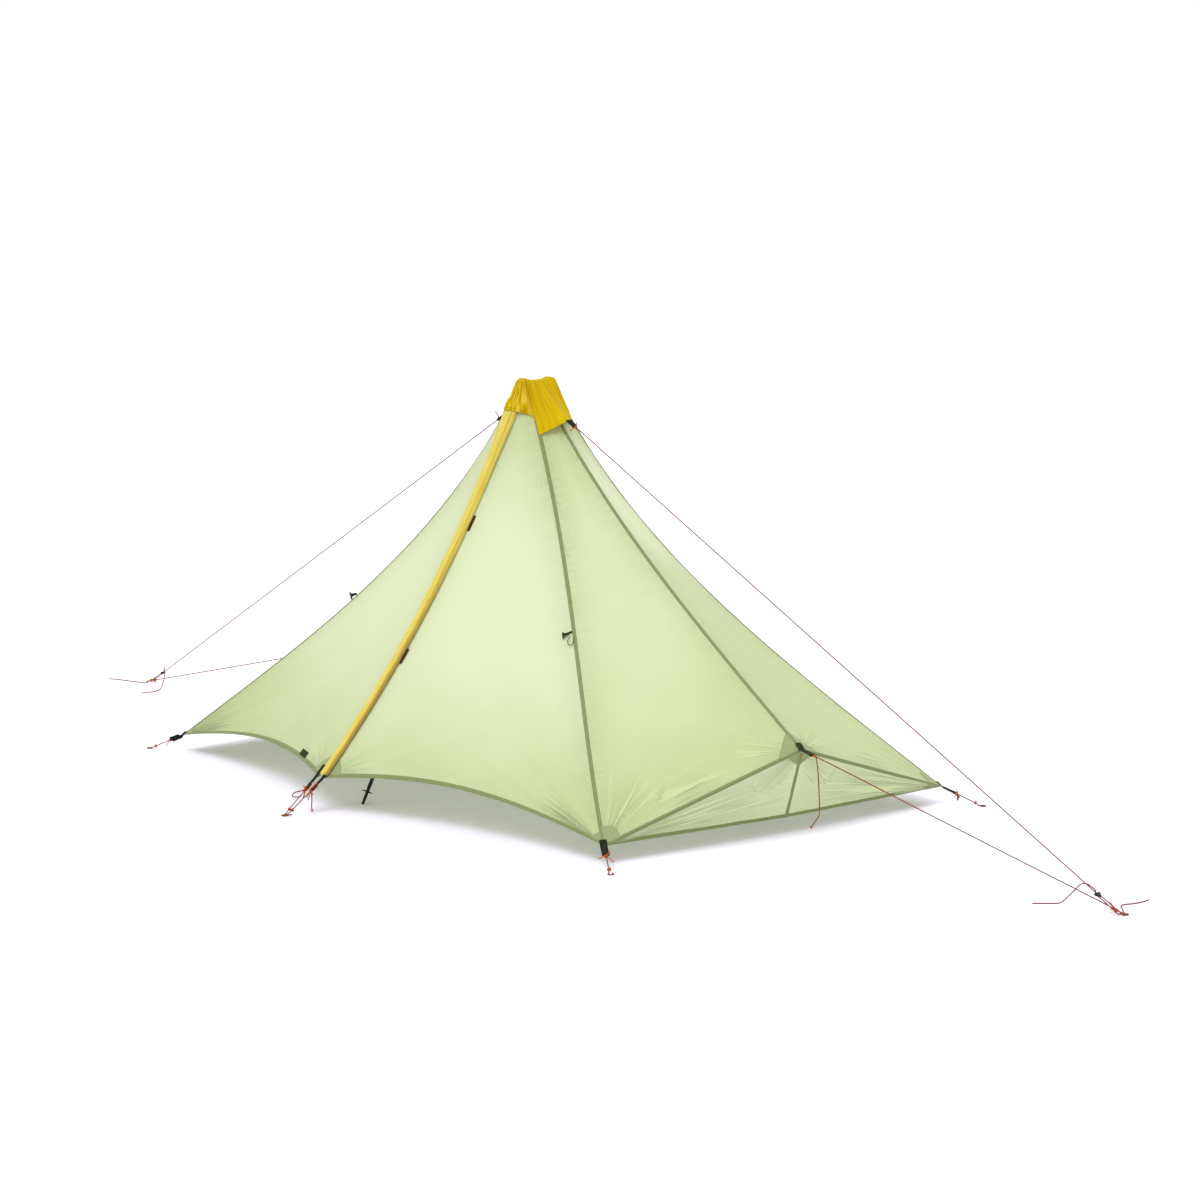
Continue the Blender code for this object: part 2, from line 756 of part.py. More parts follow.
def door_tabs():
    """A strap sewn down the low corner of each leaf, which runs on towards the door's peg."""
    ends = {}
    for side, door in ((1, "right"), (-1, "left")):
        front = Front(side)
        lift = front.normal * (CLOTH + FLAP_CLOTH + FLAP_LIFT + WEBBING)
        length = (front.zip(1) - front.door_top).length
        sewn = front.beside_zip(DOOR_TAB_OFFSET, 1 - DOOR_TAB_SEWN / length) + lift
        edge = front.beside_zip(DOOR_TAB_OFFSET, 1) + lift
        peg = Vector((side * DOOR_TAB_OFFSET / 2, -MIDDLE_PEG_Y, CORD_REST))
        end = edge + peg_direction(edge, peg) * DOOR_TAB_LENGTH
        across = Vector((1, 0, 0))
        strap(f"{door}_door_tab", [sewn, edge, end], across, DOOR_TAB_WIDTH)
        ends[f"{door}_door"] = end, peg
    return ends


# Cords


def smooth_route(points, span_steps=SPAN_STEPS):
    """Points along a smooth curve through the route's own points, nowhere below the ground."""
    route = []
    spans = [b - a for a, b in zip(points, points[1:])]
    slopes = [spans[0].normalized()]
    for a, b in zip(spans, spans[1:]):
        both = a.length + b.length
        slopes.append(a.normalized() * a.length / both + b.normalized() * b.length / both)
    slopes.append(spans[-1].normalized())
    for point, span, leaving, arriving in zip(points, spans, slopes, slopes[1:]):
        start, end = leaving * span.length, arriving * span.length
        for t in steps(0, 1, span_steps)[:-1]:
            bend = span * (3 * t**2 - 2 * t**3)
            route.append(point + start * (t - 2 * t**2 + t**3) + bend + end * (t**3 - t**2))
    route.append(points[-1].copy())
    for point in route:
        point.z = max(point.z, CORD_REST)
    return route


def cord(name, points, span_steps=SPAN_STEPS, radius=CORD_RADIUS):
    curve = bpy.data.curves.new(name, "CURVE")
    curve.dimensions = "3D"
    curve.bevel_depth = radius
    curve.bevel_resolution = 2
    curve.use_fill_caps = True
    spline = curve.splines.new("POLY")
    route = smooth_route(points, span_steps)
    spline.points.add(len(route) - 1)
    for place, point in zip(spline.points, route):
        place.co = (*point, 1)
    return add(bpy.data.objects.new(name, curve), "cord")


def peg_eye(peg, way, level=0):
    """The open loop round a peg. A loop on the next level lies on top of the one below it."""
    ahead = Vector((way.x, way.y, 0)).normalized()
    across = level_across(ahead)
    height = CORD_REST * (1 + 2 * level) + SEAM_GAP * level
    points = []
    for turn in steps(-EYE_TURN_SHARE, EYE_TURN_SHARE, EYE_SPANS):
        spot = ahead * math.cos(math.pi * turn) + across * math.sin(math.pi * turn)
        points.append(Vector((peg.x, peg.y, height)) + spot * PEG_EYE_RADIUS)
    return points


def peg_cord(name, start, peg, level=0):
    """A short cord from a tab to its peg, with the loop that goes over the peg."""
    way = peg_direction(start, peg)
    eye = peg_eye(peg, way, level)
    back = eye[-1] - Vector((way.x, way.y, 0)).normalized() * PEG_EYE_RADIUS
    first = start + way * CORD_END_GAP
    side = level_across(way) * PEG_EYE_RADIUS / 4
    throat = peg - way * PEG_EYE_RADIUS * 3 - side
    runs = [first, first.lerp(throat, 1 / 3), first.lerp(throat, 2 / 3), throat]
    cord(name, runs + eye + [back], 2)


def peg_cords(ends):
    for name, (end, peg) in ends.items():
        peg_cord(f"{name}_cord", end, peg, level=1 if name == "right_door" else 0)


def line_frame(side_x, ends):
    """Start, peg, direction, across and out of one long guyline."""
    start, peg = ends[f"{'foot' if side_x > 0 else 'head'}_apex"]
    way = peg_direction(start, peg)
    across = level_across(way)
    out = across.cross(way)
    return start, peg, way, across, out if out.z > 0 else -out


def guylines(ends):
    """The two long guylines, each with the lock that slides on it, the peg loop and the loose tail."""
    for side_x, end in ((1, "foot"), (-1, "head")):
        start, peg, way, across, out = line_frame(side_x, ends)
        lock = peg - way * LOCK_DISTANCE
        cord(f"{end}_guyline", [start + way * CORD_END_GAP, start.lerp(lock, 1 / 2), lock], 4)
        line_lock(f"{end}_line_lock", lock - way * LOCK_LENGTH / 2, way, across)
        foot = lock + way * CORD_END_GAP
        spread = across * LOCK_CORD_OFFSET
        near = peg - way * PEG_EYE_RADIUS * 3
        runs = [foot - spread, (foot - spread).lerp(near - spread, 1 / 2), near - spread]
        back = [near + spread, (foot + spread).lerp(near + spread, 1 / 2), foot + spread]
        cord(f"{end}_peg_loop", runs + peg_eye(peg, way, 1) + back, 2)
        head = lock - way * (LOCK_LENGTH + CORD_END_GAP) + out * (2 * CORD_RADIUS + ON_TOP_GAP)
        cord(f"{end}_guy_tail", tail_route(end, head, way, out), 3)


def line_lock(name, centre, way, across):
    """A flat plastic line lock with a bore for the cord that runs through it."""
    frame = direction_frame(centre, across, way)
    bm = bmesh.new()
    bmesh.ops.create_cube(bm, size=1)
    bmesh.ops.scale(bm, vec=(LOCK_WIDTH, LOCK_LENGTH, LOCK_THICKNESS), verts=bm.verts)
    obj = add(object_from(name, bm), "dark_plastic")
    obj.matrix_world = frame
    bevel = obj.modifiers.new("rounded edges", "BEVEL")
    bevel.width = LOCK_THICKNESS / 4
    bevel.segments = 2
    bore = rod(f"{name}_bore", LOCK_BORE_RADIUS, LOCK_LENGTH + 2 * OVERRUN)
    bore.matrix_world = frame @ Matrix.Rotation(math.pi / 2, 4, "X")
    boolean(obj, bore, "DIFFERENCE")


def rod(name, radius, length, segments=PIN_STEPS):
    """A plain cylinder about its own Z axis, kept as a cutter or a joined shape."""
    bm = bmesh.new()
    bmesh.ops.create_cone(
        bm, cap_ends=True, segments=segments, radius1=radius, radius2=radius, depth=length
    )
    return add_cutter(object_from(name, bm))


# The loose tails on the ground, as the photograph shows them: each point in metres
FOOT_TAIL = ((2.268, -0.011, 0.061), (2.251, -0.015, 0.058), (2.235, -0.019, 0.042),
             (2.214, -0.025, 0.020), (2.200, -0.031, 0.006), (2.187, -0.037, CORD_REST),
             (2.170, -0.056, CORD_REST), (2.148, -0.080, CORD_REST))
HEAD_TAIL = ((-2.254, -0.014, 0.064), (-2.236, -0.022, 0.048), (-2.216, -0.040, 0.020),
             (-2.198, -0.062, CORD_REST), (-2.172, -0.090, CORD_REST), (-2.160, -0.124, CORD_REST),
             (-2.166, -0.156, CORD_REST))


def tail_route(end, head, way, out):
    spots = FOOT_TAIL if end == "foot" else HEAD_TAIL
    return [head, head - way * LOCK_LENGTH / 2 + out * CORD_RADIUS] + [Vector(p) for p in spots]


# The raised guylines: a hanging tail, the run to the peg, its loop and a second tail on the ground
RAISED_TAIL_DROPS = (0.185, 0.155, 0.115, 0.070, 0.030, 0.008)
RAISED_TAIL_SWINGS = (-0.014, -0.002, 0.001, 0.001, 0.002, 0.003)
FOOT_SECOND_TAIL = ((2.334, 0.044, CORD_REST), (2.305, 0.072, CORD_REST), (2.311, 0.100, CORD_REST),
                    (2.315, 0.130, CORD_REST), (2.309, 0.164, CORD_REST))
HEAD_SECOND_TAIL = ((-2.352, -0.035, CORD_REST), (-2.408, -0.052, CORD_REST),
                    (-2.466, -0.066, CORD_REST), (-2.524, -0.086, CORD_REST))


def raised_guylines(ends):
    for side_x, end in ((1, "foot"), (-1, "head")):
        start, peg = ends[f"{end}_raised"]
        way = peg_direction(start, peg)
        knot = start + way * (CORD_END_GAP + CORD_RADIUS)
        tail = [
            knot + Vector((side_x * CORD_RADIUS * 3, swing, -drop))
            for drop, swing in zip(RAISED_TAIL_DROPS, RAISED_TAIL_SWINGS)
        ]
        throat = peg - way * PEG_EYE_RADIUS * 3
        run = [knot + way * CORD_RADIUS * 6, knot.lerp(throat, 1 / 3), knot.lerp(throat, 2 / 3), throat]
        eye = peg_eye(peg, way)
        spots = FOOT_SECOND_TAIL if end == "foot" else HEAD_SECOND_TAIL
        second_tail = [Vector(spot) for spot in spots]
        cord(f"{end}_raised_guyline", tail + run + eye + second_tail, 2)


# Toggles


def toggle_frame(side, below=0.0):
    """Where a toggle is sewn to the front hip seam: point, down the seam, along the panel, out."""
    front = Front(side)
    share = TOGGLE_SHARE + below / (front.hip(1) - front.hip(0)).length
    point = faceted(front.hip, share)
    down = (faceted(front.hip, share + HEM_RISE_SHARE) - point).normalized()
    inward = (faceted(front.zip, share) - point).normalized()
    out = inward.cross(down).normalized()
    return point, down, inward, out if out.y < 0 else -out


def toggle_loop_point(below, across, lift):
    """A point of the loop's path over the fixed panel, by its distances below and beside the toggle."""
    point, down, inward, out = toggle_frame(1, below)
    return point + inward * across + out * lift


def toggle_bar(centre, along, strap_object):
    """Joins a round toggle bar to the end of its strap."""
    bar = rod(f"{strap_object.name}_bar", TOGGLE_RADIUS, TOGGLE_LENGTH)
    bar.matrix_world = Matrix.Translation(centre) @ along.to_track_quat("Z", "Y").to_matrix().to_4x4()
    boolean(strap_object, bar, "UNION")


def toggles():
    point, down, inward, out = toggle_frame(1)
    first = point + out * (CLOTH + ON_TOP_GAP + WEBBING / 2) + inward * TOGGLE_START
    last = point + out * TOGGLE_LIFT + inward * RIGHT_TOGGLE_REACH + down * RIGHT_TOGGLE_DROP
    made = strap("right_toggle", [first, last], down, TOGGLE_TAB_WIDTH, slot="dark_plastic")
    toggle_bar(last, down, made)
    top, low, wide = TOGGLE_LOOP_START, TOGGLE_LOOP_START + TOGGLE_LOOP_REACH, TOGGLE_LOOP_WIDTH
    seat, lift = CLOTH + ON_TOP_GAP + LOOP_CORD_RADIUS, TOGGLE_LIFT
    spots = ((top, wide / 3, seat), ((top + low) / 2, wide / 3, lift), (low, wide, lift),
             (low, wide * 2, lift), ((top + low) / 2, wide * 2, lift), (top, wide, lift))
    cord("right_toggle_loop", [toggle_loop_point(*spot) for spot in spots], 3, LOOP_CORD_RADIUS)

    point, down, inward, out = toggle_frame(-1)
    level = Vector((point.x, point.y, 0)).normalized()
    first = point + level * TOGGLE_START
    last = point + level * LEFT_TOGGLE_OUT - Vector((0, 0, LEFT_TOGGLE_DROP))
    hanging = (level * LEFT_TOGGLE_TILT_SHARE - Vector((0, 0, 1))).normalized()
    made = strap("left_toggle", [first, last], hanging, TOGGLE_TAB_WIDTH, slot="dark_plastic")
    toggle_bar(last, hanging, made)


# Trekking poles


def turned(name, profile, slot, parent, closed=False, segments=TURNED_STEPS):
    """A turned piece: its profile of (radius, height) runs down the outer side and back up inside."""
    bm = bmesh.new()
    verts = [bm.verts.new((radius, 0, height)) for radius, height in profile]
    for a, b in zip(verts, verts[1:]):
        bm.edges.new((a, b))
    if closed:
        bm.edges.new((verts[-1], verts[0]))
    obj = add(object_from(name, bm), slot, parent)
    screw = obj.modifiers.new("turn", "SCREW")
    screw.steps = screw.render_steps = segments
    screw.use_merge_vertices = True
    screw.merge_threshold = 0.00001
    screw.use_smooth_shade = True
    return obj


def tube(name, outer, inner, low, high, slot, parent):
    return turned(name, [(outer, high), (outer, low), (inner, low), (inner, high)], slot, parent, closed=True)


def ground_cutter():
    bm = bmesh.new()
    bmesh.ops.create_cube(bm, size=1)
    bmesh.ops.scale(bm, vec=(DEEP_CUT, 2 * HALF_LENGTH, DEEP_CUT), verts=bm.verts)
    cutter = add_cutter(object_from("below_ground", bm))
    cutter.location = (0, 0, -DEEP_CUT / 2)
    return cutter


def pole_tip(name, parent, ground):
    """The moulded tip with its small basket, which holds the lower shaft on a spigot."""
    spigot = LOWER_RADIUS - TUBE_WALL - POLE_GAP
    low, high = BASKET_HEIGHT - BASKET_THICKNESS / 2, BASKET_HEIGHT + BASKET_THICKNESS / 2
    neck = (TIP_POINT_RADIUS + TIP_RADIUS) / 2
    tip = turned(
        name,
        [
            (0, TIP_LENGTH + SPIGOT_LENGTH),
            (spigot, TIP_LENGTH + SPIGOT_LENGTH),
            (spigot, TIP_LENGTH),
            (TIP_RADIUS, TIP_LENGTH),
            (neck, high),
            (BASKET_RADIUS, high - BASKET_SLOPE),
            (BASKET_RADIUS, low - BASKET_SLOPE),
            (neck, low),
            (TIP_POINT_RADIUS, -TIP_POINT_RADIUS),
            (0, -TIP_POINT_RADIUS),
        ],
        "dark_plastic",
        parent,
    )
    boolean(tip, ground, "DIFFERENCE")


def grip(name, parent, length):
    bore = UPPER_RADIUS + POLE_GAP
    bottom = length - GRIP_LENGTH
    dome = [
        (GRIP_DOME_RADIUS * math.sin(angle), length - GRIP_DOME_RADIUS * (1 - math.cos(angle)))
        for angle in steps(0, math.pi / 2, 4)
    ]
    profile = dome + [
        (GRIP_DOME_RADIUS, length - GRIP_DOME_RADIUS * 2),
        (GRIP_WAIST_RADIUS, length - GRIP_LENGTH / 3),
        (GRIP_RADIUS, length - GRIP_LENGTH * 2 / 3),
        (GRIP_END_RADIUS, bottom),
        (bore, bottom),
        (bore, bottom + UPPER_IN_GRIP + POLE_GAP),
        (0, bottom + UPPER_IN_GRIP + POLE_GAP),
    ]
    turned(name, profile, "grip_foam", parent)


def box(name, low, high):
    """A plain box from its two corners, kept as a joined shape."""
    bm = bmesh.new()
    bmesh.ops.create_cube(bm, size=1)
    size = Vector(high) - Vector(low)
    bmesh.ops.scale(bm, vec=size, verts=bm.verts)
    bmesh.ops.translate(bm, vec=(Vector(low) + Vector(high)) / 2, verts=bm.verts)
    return add_cutter(object_from(name, bm))


def lever_pin_place():
    """The lock lever's pin, in the pole's own X and Y."""
    return CLAMP_RADIUS + EAR_REACH - EAR_HALF, 0.0


def lock_clamp(name, parent):
    """The collar that grips the lower shaft, with two ears for its lever."""
    low = UPPER_BOTTOM - CLAMP_START
    high = low + CLAMP_LENGTH
    bore = UPPER_RADIUS + POLE_GAP
    mouth = LOWER_RADIUS + POLE_GAP
    step = UPPER_BOTTOM - POLE_GAP
    outer = [(CLAMP_RADIUS, high), (CLAMP_RADIUS, low)]
    profile = outer + [(mouth, low), (mouth, step), (bore, step), (bore, high)]
    clamp = turned(name, profile, "dark_plastic", parent, closed=True)
    pin_x, pin_y = lever_pin_place()
    for level, floor in (("low", low), ("high", high - EAR_THICKNESS)):
        ear = box(f"{name}_{level}_ear", (bore + TUBE_WALL, -EAR_HALF, floor),
                  (CLAMP_RADIUS + EAR_REACH, EAR_HALF, floor + EAR_THICKNESS))
        ear.parent = parent
        boolean(clamp, ear, "UNION")
    hole = rod(f"{name}_pin_hole", LEVER_PIN_RADIUS + LEVER_PIN_GAP, CLAMP_LENGTH + 2 * OVERRUN)
    hole.location = (pin_x, pin_y, (low + high) / 2)
    hole.parent = parent
    boolean(clamp, hole, "DIFFERENCE")


def lock_lever(name, parent):
    """The lever that closes the clamp: a barrel with its pin between the ears, and a flat handle."""
    low = UPPER_BOTTOM - CLAMP_START + EAR_THICKNESS + LEVER_GAP
    high = UPPER_BOTTOM - CLAMP_START + CLAMP_LENGTH - EAR_THICKNESS - LEVER_GAP
    pin_x, pin_y = lever_pin_place()
    hinge = bpy.data.objects.new(f"{name}_hinge", None)
    TENT.objects.link(hinge)
    hinge.parent = parent
    hinge.location = (pin_x, pin_y, (low + high) / 2)
    half = (high - low) / 2
    far = LEVER_THICKNESS - LEVER_BARREL_RADIUS
    handle = box(name, (-LEVER_BARREL_RADIUS, 0, -half), (far, LEVER_LENGTH, half))
    CUTTERS.objects.unlink(handle)
    handle.hide_render = False
    handle.display_type = "TEXTURED"
    add(handle, "dark_plastic", hinge)
    barrel = rod(f"{name}_barrel", LEVER_BARREL_RADIUS, high - low)
    pin = rod(f"{name}_pin", LEVER_PIN_RADIUS, CLAMP_LENGTH - LEVER_GAP)
    for shape in (barrel, pin):
        shape.parent = hinge
        boolean(handle, shape, "UNION")


def pole(name, side_y, ground):
    """One two-section trekking pole, tip down and leaning to the ridge."""
    foot = Vector((0, side_y * POLE_FOOT_Y, 0))
    dome_height = RIDGE_HEIGHT - CAP_CLOTH - GRIP_HEADROOM - GRIP_DOME_RADIUS
    dome = Vector((0, side_y * POLE_TOP_Y, dome_height))
    length = (dome - foot).length + GRIP_DOME_RADIUS
    base = bpy.data.objects.new(f"{name}_base", None)
    TENT.objects.link(base)
    base.location = foot
    lean = math.atan2(POLE_FOOT_Y - POLE_TOP_Y, dome_height)
    turn = 0 if side_y < 0 else math.pi
    base.rotation_euler = (Matrix.Rotation(turn, 3, "Z") @ Matrix.Rotation(-lean, 3, "X")).to_euler()
    pole_tip(f"{name}_tip", base, ground)
    low = TIP_LENGTH + POLE_GAP
    inner = LOWER_RADIUS - TUBE_WALL
    tube(f"{name}_lower_shaft", LOWER_RADIUS, inner, low, low + LOWER_LENGTH, "pole_tube", base)
    high = length - GRIP_LENGTH + UPPER_IN_GRIP
    tube(f"{name}_upper_shaft", UPPER_RADIUS, LOWER_RADIUS + POLE_GAP, UPPER_BOTTOM, high, "pole_tube", base)
    grip(f"{name}_grip", base, length)
    lock_clamp(f"{name}_lock_clamp", base)
    lock_lever(f"{name}_lock_lever", base)


def build():
    for side_x, end in ((1, "foot"), (-1, "head")):
        end_panels(side_x, end)
        rear_panel(side_x, end)
    front_panels()
    storm_flap()
    zip_chain()
    zip_slider()
    apex_cap()
    peg_cords({**corner_tabs(), **door_tabs()})
    ends = guy_tabs()
    guylines(ends)
    raised_guylines(ends)
    toggles()
    ground = ground_cutter()
    pole("front_pole", -1, ground)
    pole("rear_pole", 1, ground)


build()
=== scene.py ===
import math

import bmesh
import bpy
import numpy as np
from mathutils import Matrix, Vector
from mathutils.bvhtree import BVHTree


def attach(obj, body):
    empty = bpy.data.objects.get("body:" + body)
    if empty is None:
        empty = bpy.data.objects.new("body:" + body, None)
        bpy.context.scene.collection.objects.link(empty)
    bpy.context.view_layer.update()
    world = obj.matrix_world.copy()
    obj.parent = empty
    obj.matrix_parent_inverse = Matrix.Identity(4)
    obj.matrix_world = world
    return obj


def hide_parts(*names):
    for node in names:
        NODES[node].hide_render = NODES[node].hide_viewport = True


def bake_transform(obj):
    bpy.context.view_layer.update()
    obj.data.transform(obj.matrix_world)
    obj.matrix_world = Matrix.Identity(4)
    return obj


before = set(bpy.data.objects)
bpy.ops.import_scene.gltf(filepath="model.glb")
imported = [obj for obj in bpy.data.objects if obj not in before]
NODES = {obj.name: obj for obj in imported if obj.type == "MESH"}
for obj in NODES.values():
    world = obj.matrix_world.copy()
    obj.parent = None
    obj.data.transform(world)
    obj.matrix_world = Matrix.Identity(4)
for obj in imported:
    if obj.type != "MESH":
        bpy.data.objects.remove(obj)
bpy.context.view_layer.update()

# The camera, fitted to the outline, the seams and the pegs of the photograph
CAMERA_AZIMUTH, CAMERA_ELEVATION, CAMERA_ROLL = 52.755, 7.8345, -0.847
CAMERA_DISTANCE, CAMERA_TARGET_ACROSS, CAMERA_TARGET_HEIGHT = 9.5987, 0.1806, 0.5315
SENSOR_WIDTH, FOCAL_PIXELS, PHOTO_PIXELS = 36, 3211.2, 1200

# The pitched outline, as in the CAD source
RIDGE_HEIGHT, TOP_RING_HEIGHT = 1.200, 1.181
TOP_RING_HALF_X, TOP_RING_HIP_Y, TOP_RING_MIDDLE_Y = 0.022, 0.048, 0.073
HALF_LENGTH, HALF_WIDTH, CORNER_HEIGHT = 1.097, 0.607, 0.050
MIDDLE_CORNER_Y, MIDDLE_CORNER_HEIGHT = 0.790, 0.095
RAISED_X, RAISED_HEIGHT, END_HEM_X, END_HEM_HEIGHT = 1.192, 0.245, 1.124, 0.048
HIP_SAG, HIP_BOW, END_SEAM_SAG, MIDDLE_SAG = 0.087, 0.035, 0.053, 0.055
HIP_SAG_SKEW, HIP_BOW_SKEW, HEM_RISE = 0.35, 0.82, 0.05
CLOTH = 0.0005
DOOR_TOP, FOLD_HEM, ZIP_GAP_HALF, ZIP_GAP_GROWTH = 0.07, 0.14, 0.0048, 20
CORD_RADIUS, CORD_REST, LOOP_CORD_RADIUS = 0.0016, 0.0017, 0.00125
POLE_TOP_Y = 0.047
CAP_LIFT, CAP_CLOTH, CAP_MIDDLE, CAP_END, CAP_END_LIFT = 0.0017, 0.0008, 0.062, 0.115, 0.037
CAP_HIPS = {(1, -1): 0.100, (-1, -1): 0.068, (1, 1): 0.068, (-1, 1): 0.068}
INSIDE = np.array((0, 0, RAISED_HEIGHT))

HALVES = ((-1, "front"), (1, "back"))
DOORS = {1: "right_door", -1: "left_door"}
ENDS = {1: "foot", -1: "head"}


def vec(*parts):
    return np.array(parts, float)


def unit(a):
    return a / np.maximum(np.linalg.norm(a, axis=-1, keepdims=True), 1e-12)


def run_along(points):
    """How far along a line each of its points lies."""
    return np.concatenate([[0], np.cumsum(np.linalg.norm(np.diff(points, axis=0), axis=-1))])


def add_object(name, data):
    obj = bpy.data.objects.new(name, data)
    bpy.context.scene.collection.objects.link(obj)
    return obj


def seen_from(azimuth, elevation):
    """The direction of a place seen at an azimuth and elevation in degrees, 0 being the front."""
    a, e = math.radians(azimuth), math.radians(elevation)
    return Vector((math.sin(a) * math.cos(e), -math.cos(a) * math.cos(e), math.sin(e)))


def add_camera():
    azimuth, roll = math.radians(CAMERA_AZIMUTH), math.radians(CAMERA_ROLL)
    back = seen_from(CAMERA_AZIMUTH, CAMERA_ELEVATION)
    level = Vector((math.cos(azimuth), math.sin(azimuth), 0))
    upright = back.cross(level)
    right = level * math.cos(roll) + upright * math.sin(roll)
    up = upright * math.cos(roll) - level * math.sin(roll)
    data = bpy.data.cameras.new("camera")
    data.sensor_width = SENSOR_WIDTH
    data.lens = SENSOR_WIDTH * FOCAL_PIXELS / PHOTO_PIXELS
    data.clip_start, data.clip_end = 0.1, 200
    matrix = Matrix.Identity(4)
    for column, axis in enumerate((right, up, back)):
        matrix.col[column] = (*axis, 0)
    target = Vector((0, 0, CAMERA_TARGET_HEIGHT)) + level * CAMERA_TARGET_ACROSS
    matrix.translation = target + back * CAMERA_DISTANCE
    camera = add_object("camera", data)
    camera.matrix_world = matrix
    bpy.context.scene.camera = camera


add_camera()


# The outline's own points, and its seams: each is a function of the share of the way down from the ridge


def low_corner(side_x, side_y):
    return vec(side_x * HALF_LENGTH, side_y * HALF_WIDTH, CORNER_HEIGHT)


def raised_point(side_x):
    return vec(side_x * RAISED_X, 0, RAISED_HEIGHT)


def end_hem(side_x):
    return vec(side_x * END_HEM_X, 0, END_HEM_HEIGHT)


def outward_normal(along):
    level = unit(vec(along[0], along[1], 0))
    way = unit(along)
    return unit(level - way * level.dot(way))


def faceted(seam, share):
    """A point of the seam as the CAD source's rows of straight pieces have it."""
    rows = np.concatenate([[0.0], np.linspace(DOOR_TOP, 1.0, 11)])
    above, below = rows[rows < share].max(), rows[rows >= share].min()
    return seam(above) + (seam(below) - seam(above)) * (share - above) / (below - above)


def hump(share, skew):
    return 4 * share * (1 - share) * (1 + skew * (1 - 2 * share))


def hip(side_x, side_y):
    top = vec(side_x * TOP_RING_HALF_X, side_y * TOP_RING_HIP_Y, TOP_RING_HEIGHT)
    foot = low_corner(side_x, side_y)
    along = foot - top
    inward = -outward_normal(along)
    sideways = unit(vec(abs(along[1]) * side_x, -abs(along[0]) * side_y, 0))

    def at(share):
        s = np.asarray(share, float)[..., None]
        return (top + along * s + inward * HIP_SAG * hump(s, HIP_SAG_SKEW)
                + sideways * HIP_BOW * hump(s, HIP_BOW_SKEW))

    return at


def end_seam(side_x):
    top = vec(side_x * TOP_RING_HALF_X, 0, TOP_RING_HEIGHT)
    foot = raised_point(side_x)
    along = foot - top
    inward = -outward_normal(along)

    def at(share):
        s = np.asarray(share, float)[..., None]
        return top + along * s + inward * END_SEAM_SAG * hump(s, HIP_SAG_SKEW)

    return at


def middle_arc_centre(side_y):
    top = vec(0, side_y * TOP_RING_MIDDLE_Y, TOP_RING_HEIGHT)
    foot = vec(0, side_y * MIDDLE_CORNER_Y, MIDDLE_CORNER_HEIGHT)
    along = foot - top
    radius = along.dot(along) / (8 * MIDDLE_SAG) + MIDDLE_SAG / 2
    centre = (top + foot) / 2 + outward_normal(along) * (radius - MIDDLE_SAG)
    first, last = (math.atan2(p[2] - centre[2], p[1] - centre[1]) for p in (top, foot))
    if last - first > math.pi:
        last -= 2 * math.pi
    if first - last > math.pi:
        last += 2 * math.pi
    return centre, radius, first, last


def middle_arc(side_y):
    centre, radius, first, last = middle_arc_centre(side_y)

    def at(share):
        angle = first + (last - first) * np.asarray(share, float)
        return centre + np.stack([0 * angle, np.cos(angle), np.sin(angle)], -1) * radius

    return at


def cap_end(side_x):
    """The ridge of the cap's end, which its guyline pulls straight, off the hollow seam below it."""
    seam = end_seam(side_x)
    out = outward_normal(seam(1.0) - seam(0.0))
    return lambda share: seam(share) + out * CAP_END_LIFT * np.asarray(share, float)[..., None] / CAP_END


def hem_share(across):
    return 1 - HEM_RISE * 4 * across * (1 - across)


def ruled(first, second, across, share):
    a, b = first(share), second(share)
    return a + (b - a) * np.asarray(across, float)[..., None]


def side_surface(side_x, side_y):
    """A front or rear panel as a surface: across from the hip to the middle seam, down to the hem."""
    corner, middle = hip(side_x, side_y), middle_arc(side_y)

    def at(across, down):
        share = down * (1 - (1 - hem_share(across)) * down)
        return ruled(corner, middle, across, share)

    return at


def end_surface(side_x, side_y):
    corner, seam = hip(side_x, side_y), end_seam(side_x)
    return lambda across, down: ruled(corner, seam, across, down)


def lower_surface(side_x):
    """A low end panel: across from -1 at the front corner to 1 at the back one, down to the hem."""
    raised, middle = raised_point(side_x), end_hem(side_x)
    front, back = low_corner(side_x, -1), low_corner(side_x, 1)

    def at(across, down):
        a, d = (np.asarray(value, float)[..., None] for value in (across, down))
        corner = np.where(a < 0, front, back)
        top = raised + (corner - raised) * abs(a)
        hem = middle + (corner - middle) * abs(a)
        return top + (hem - top) * d

    return at


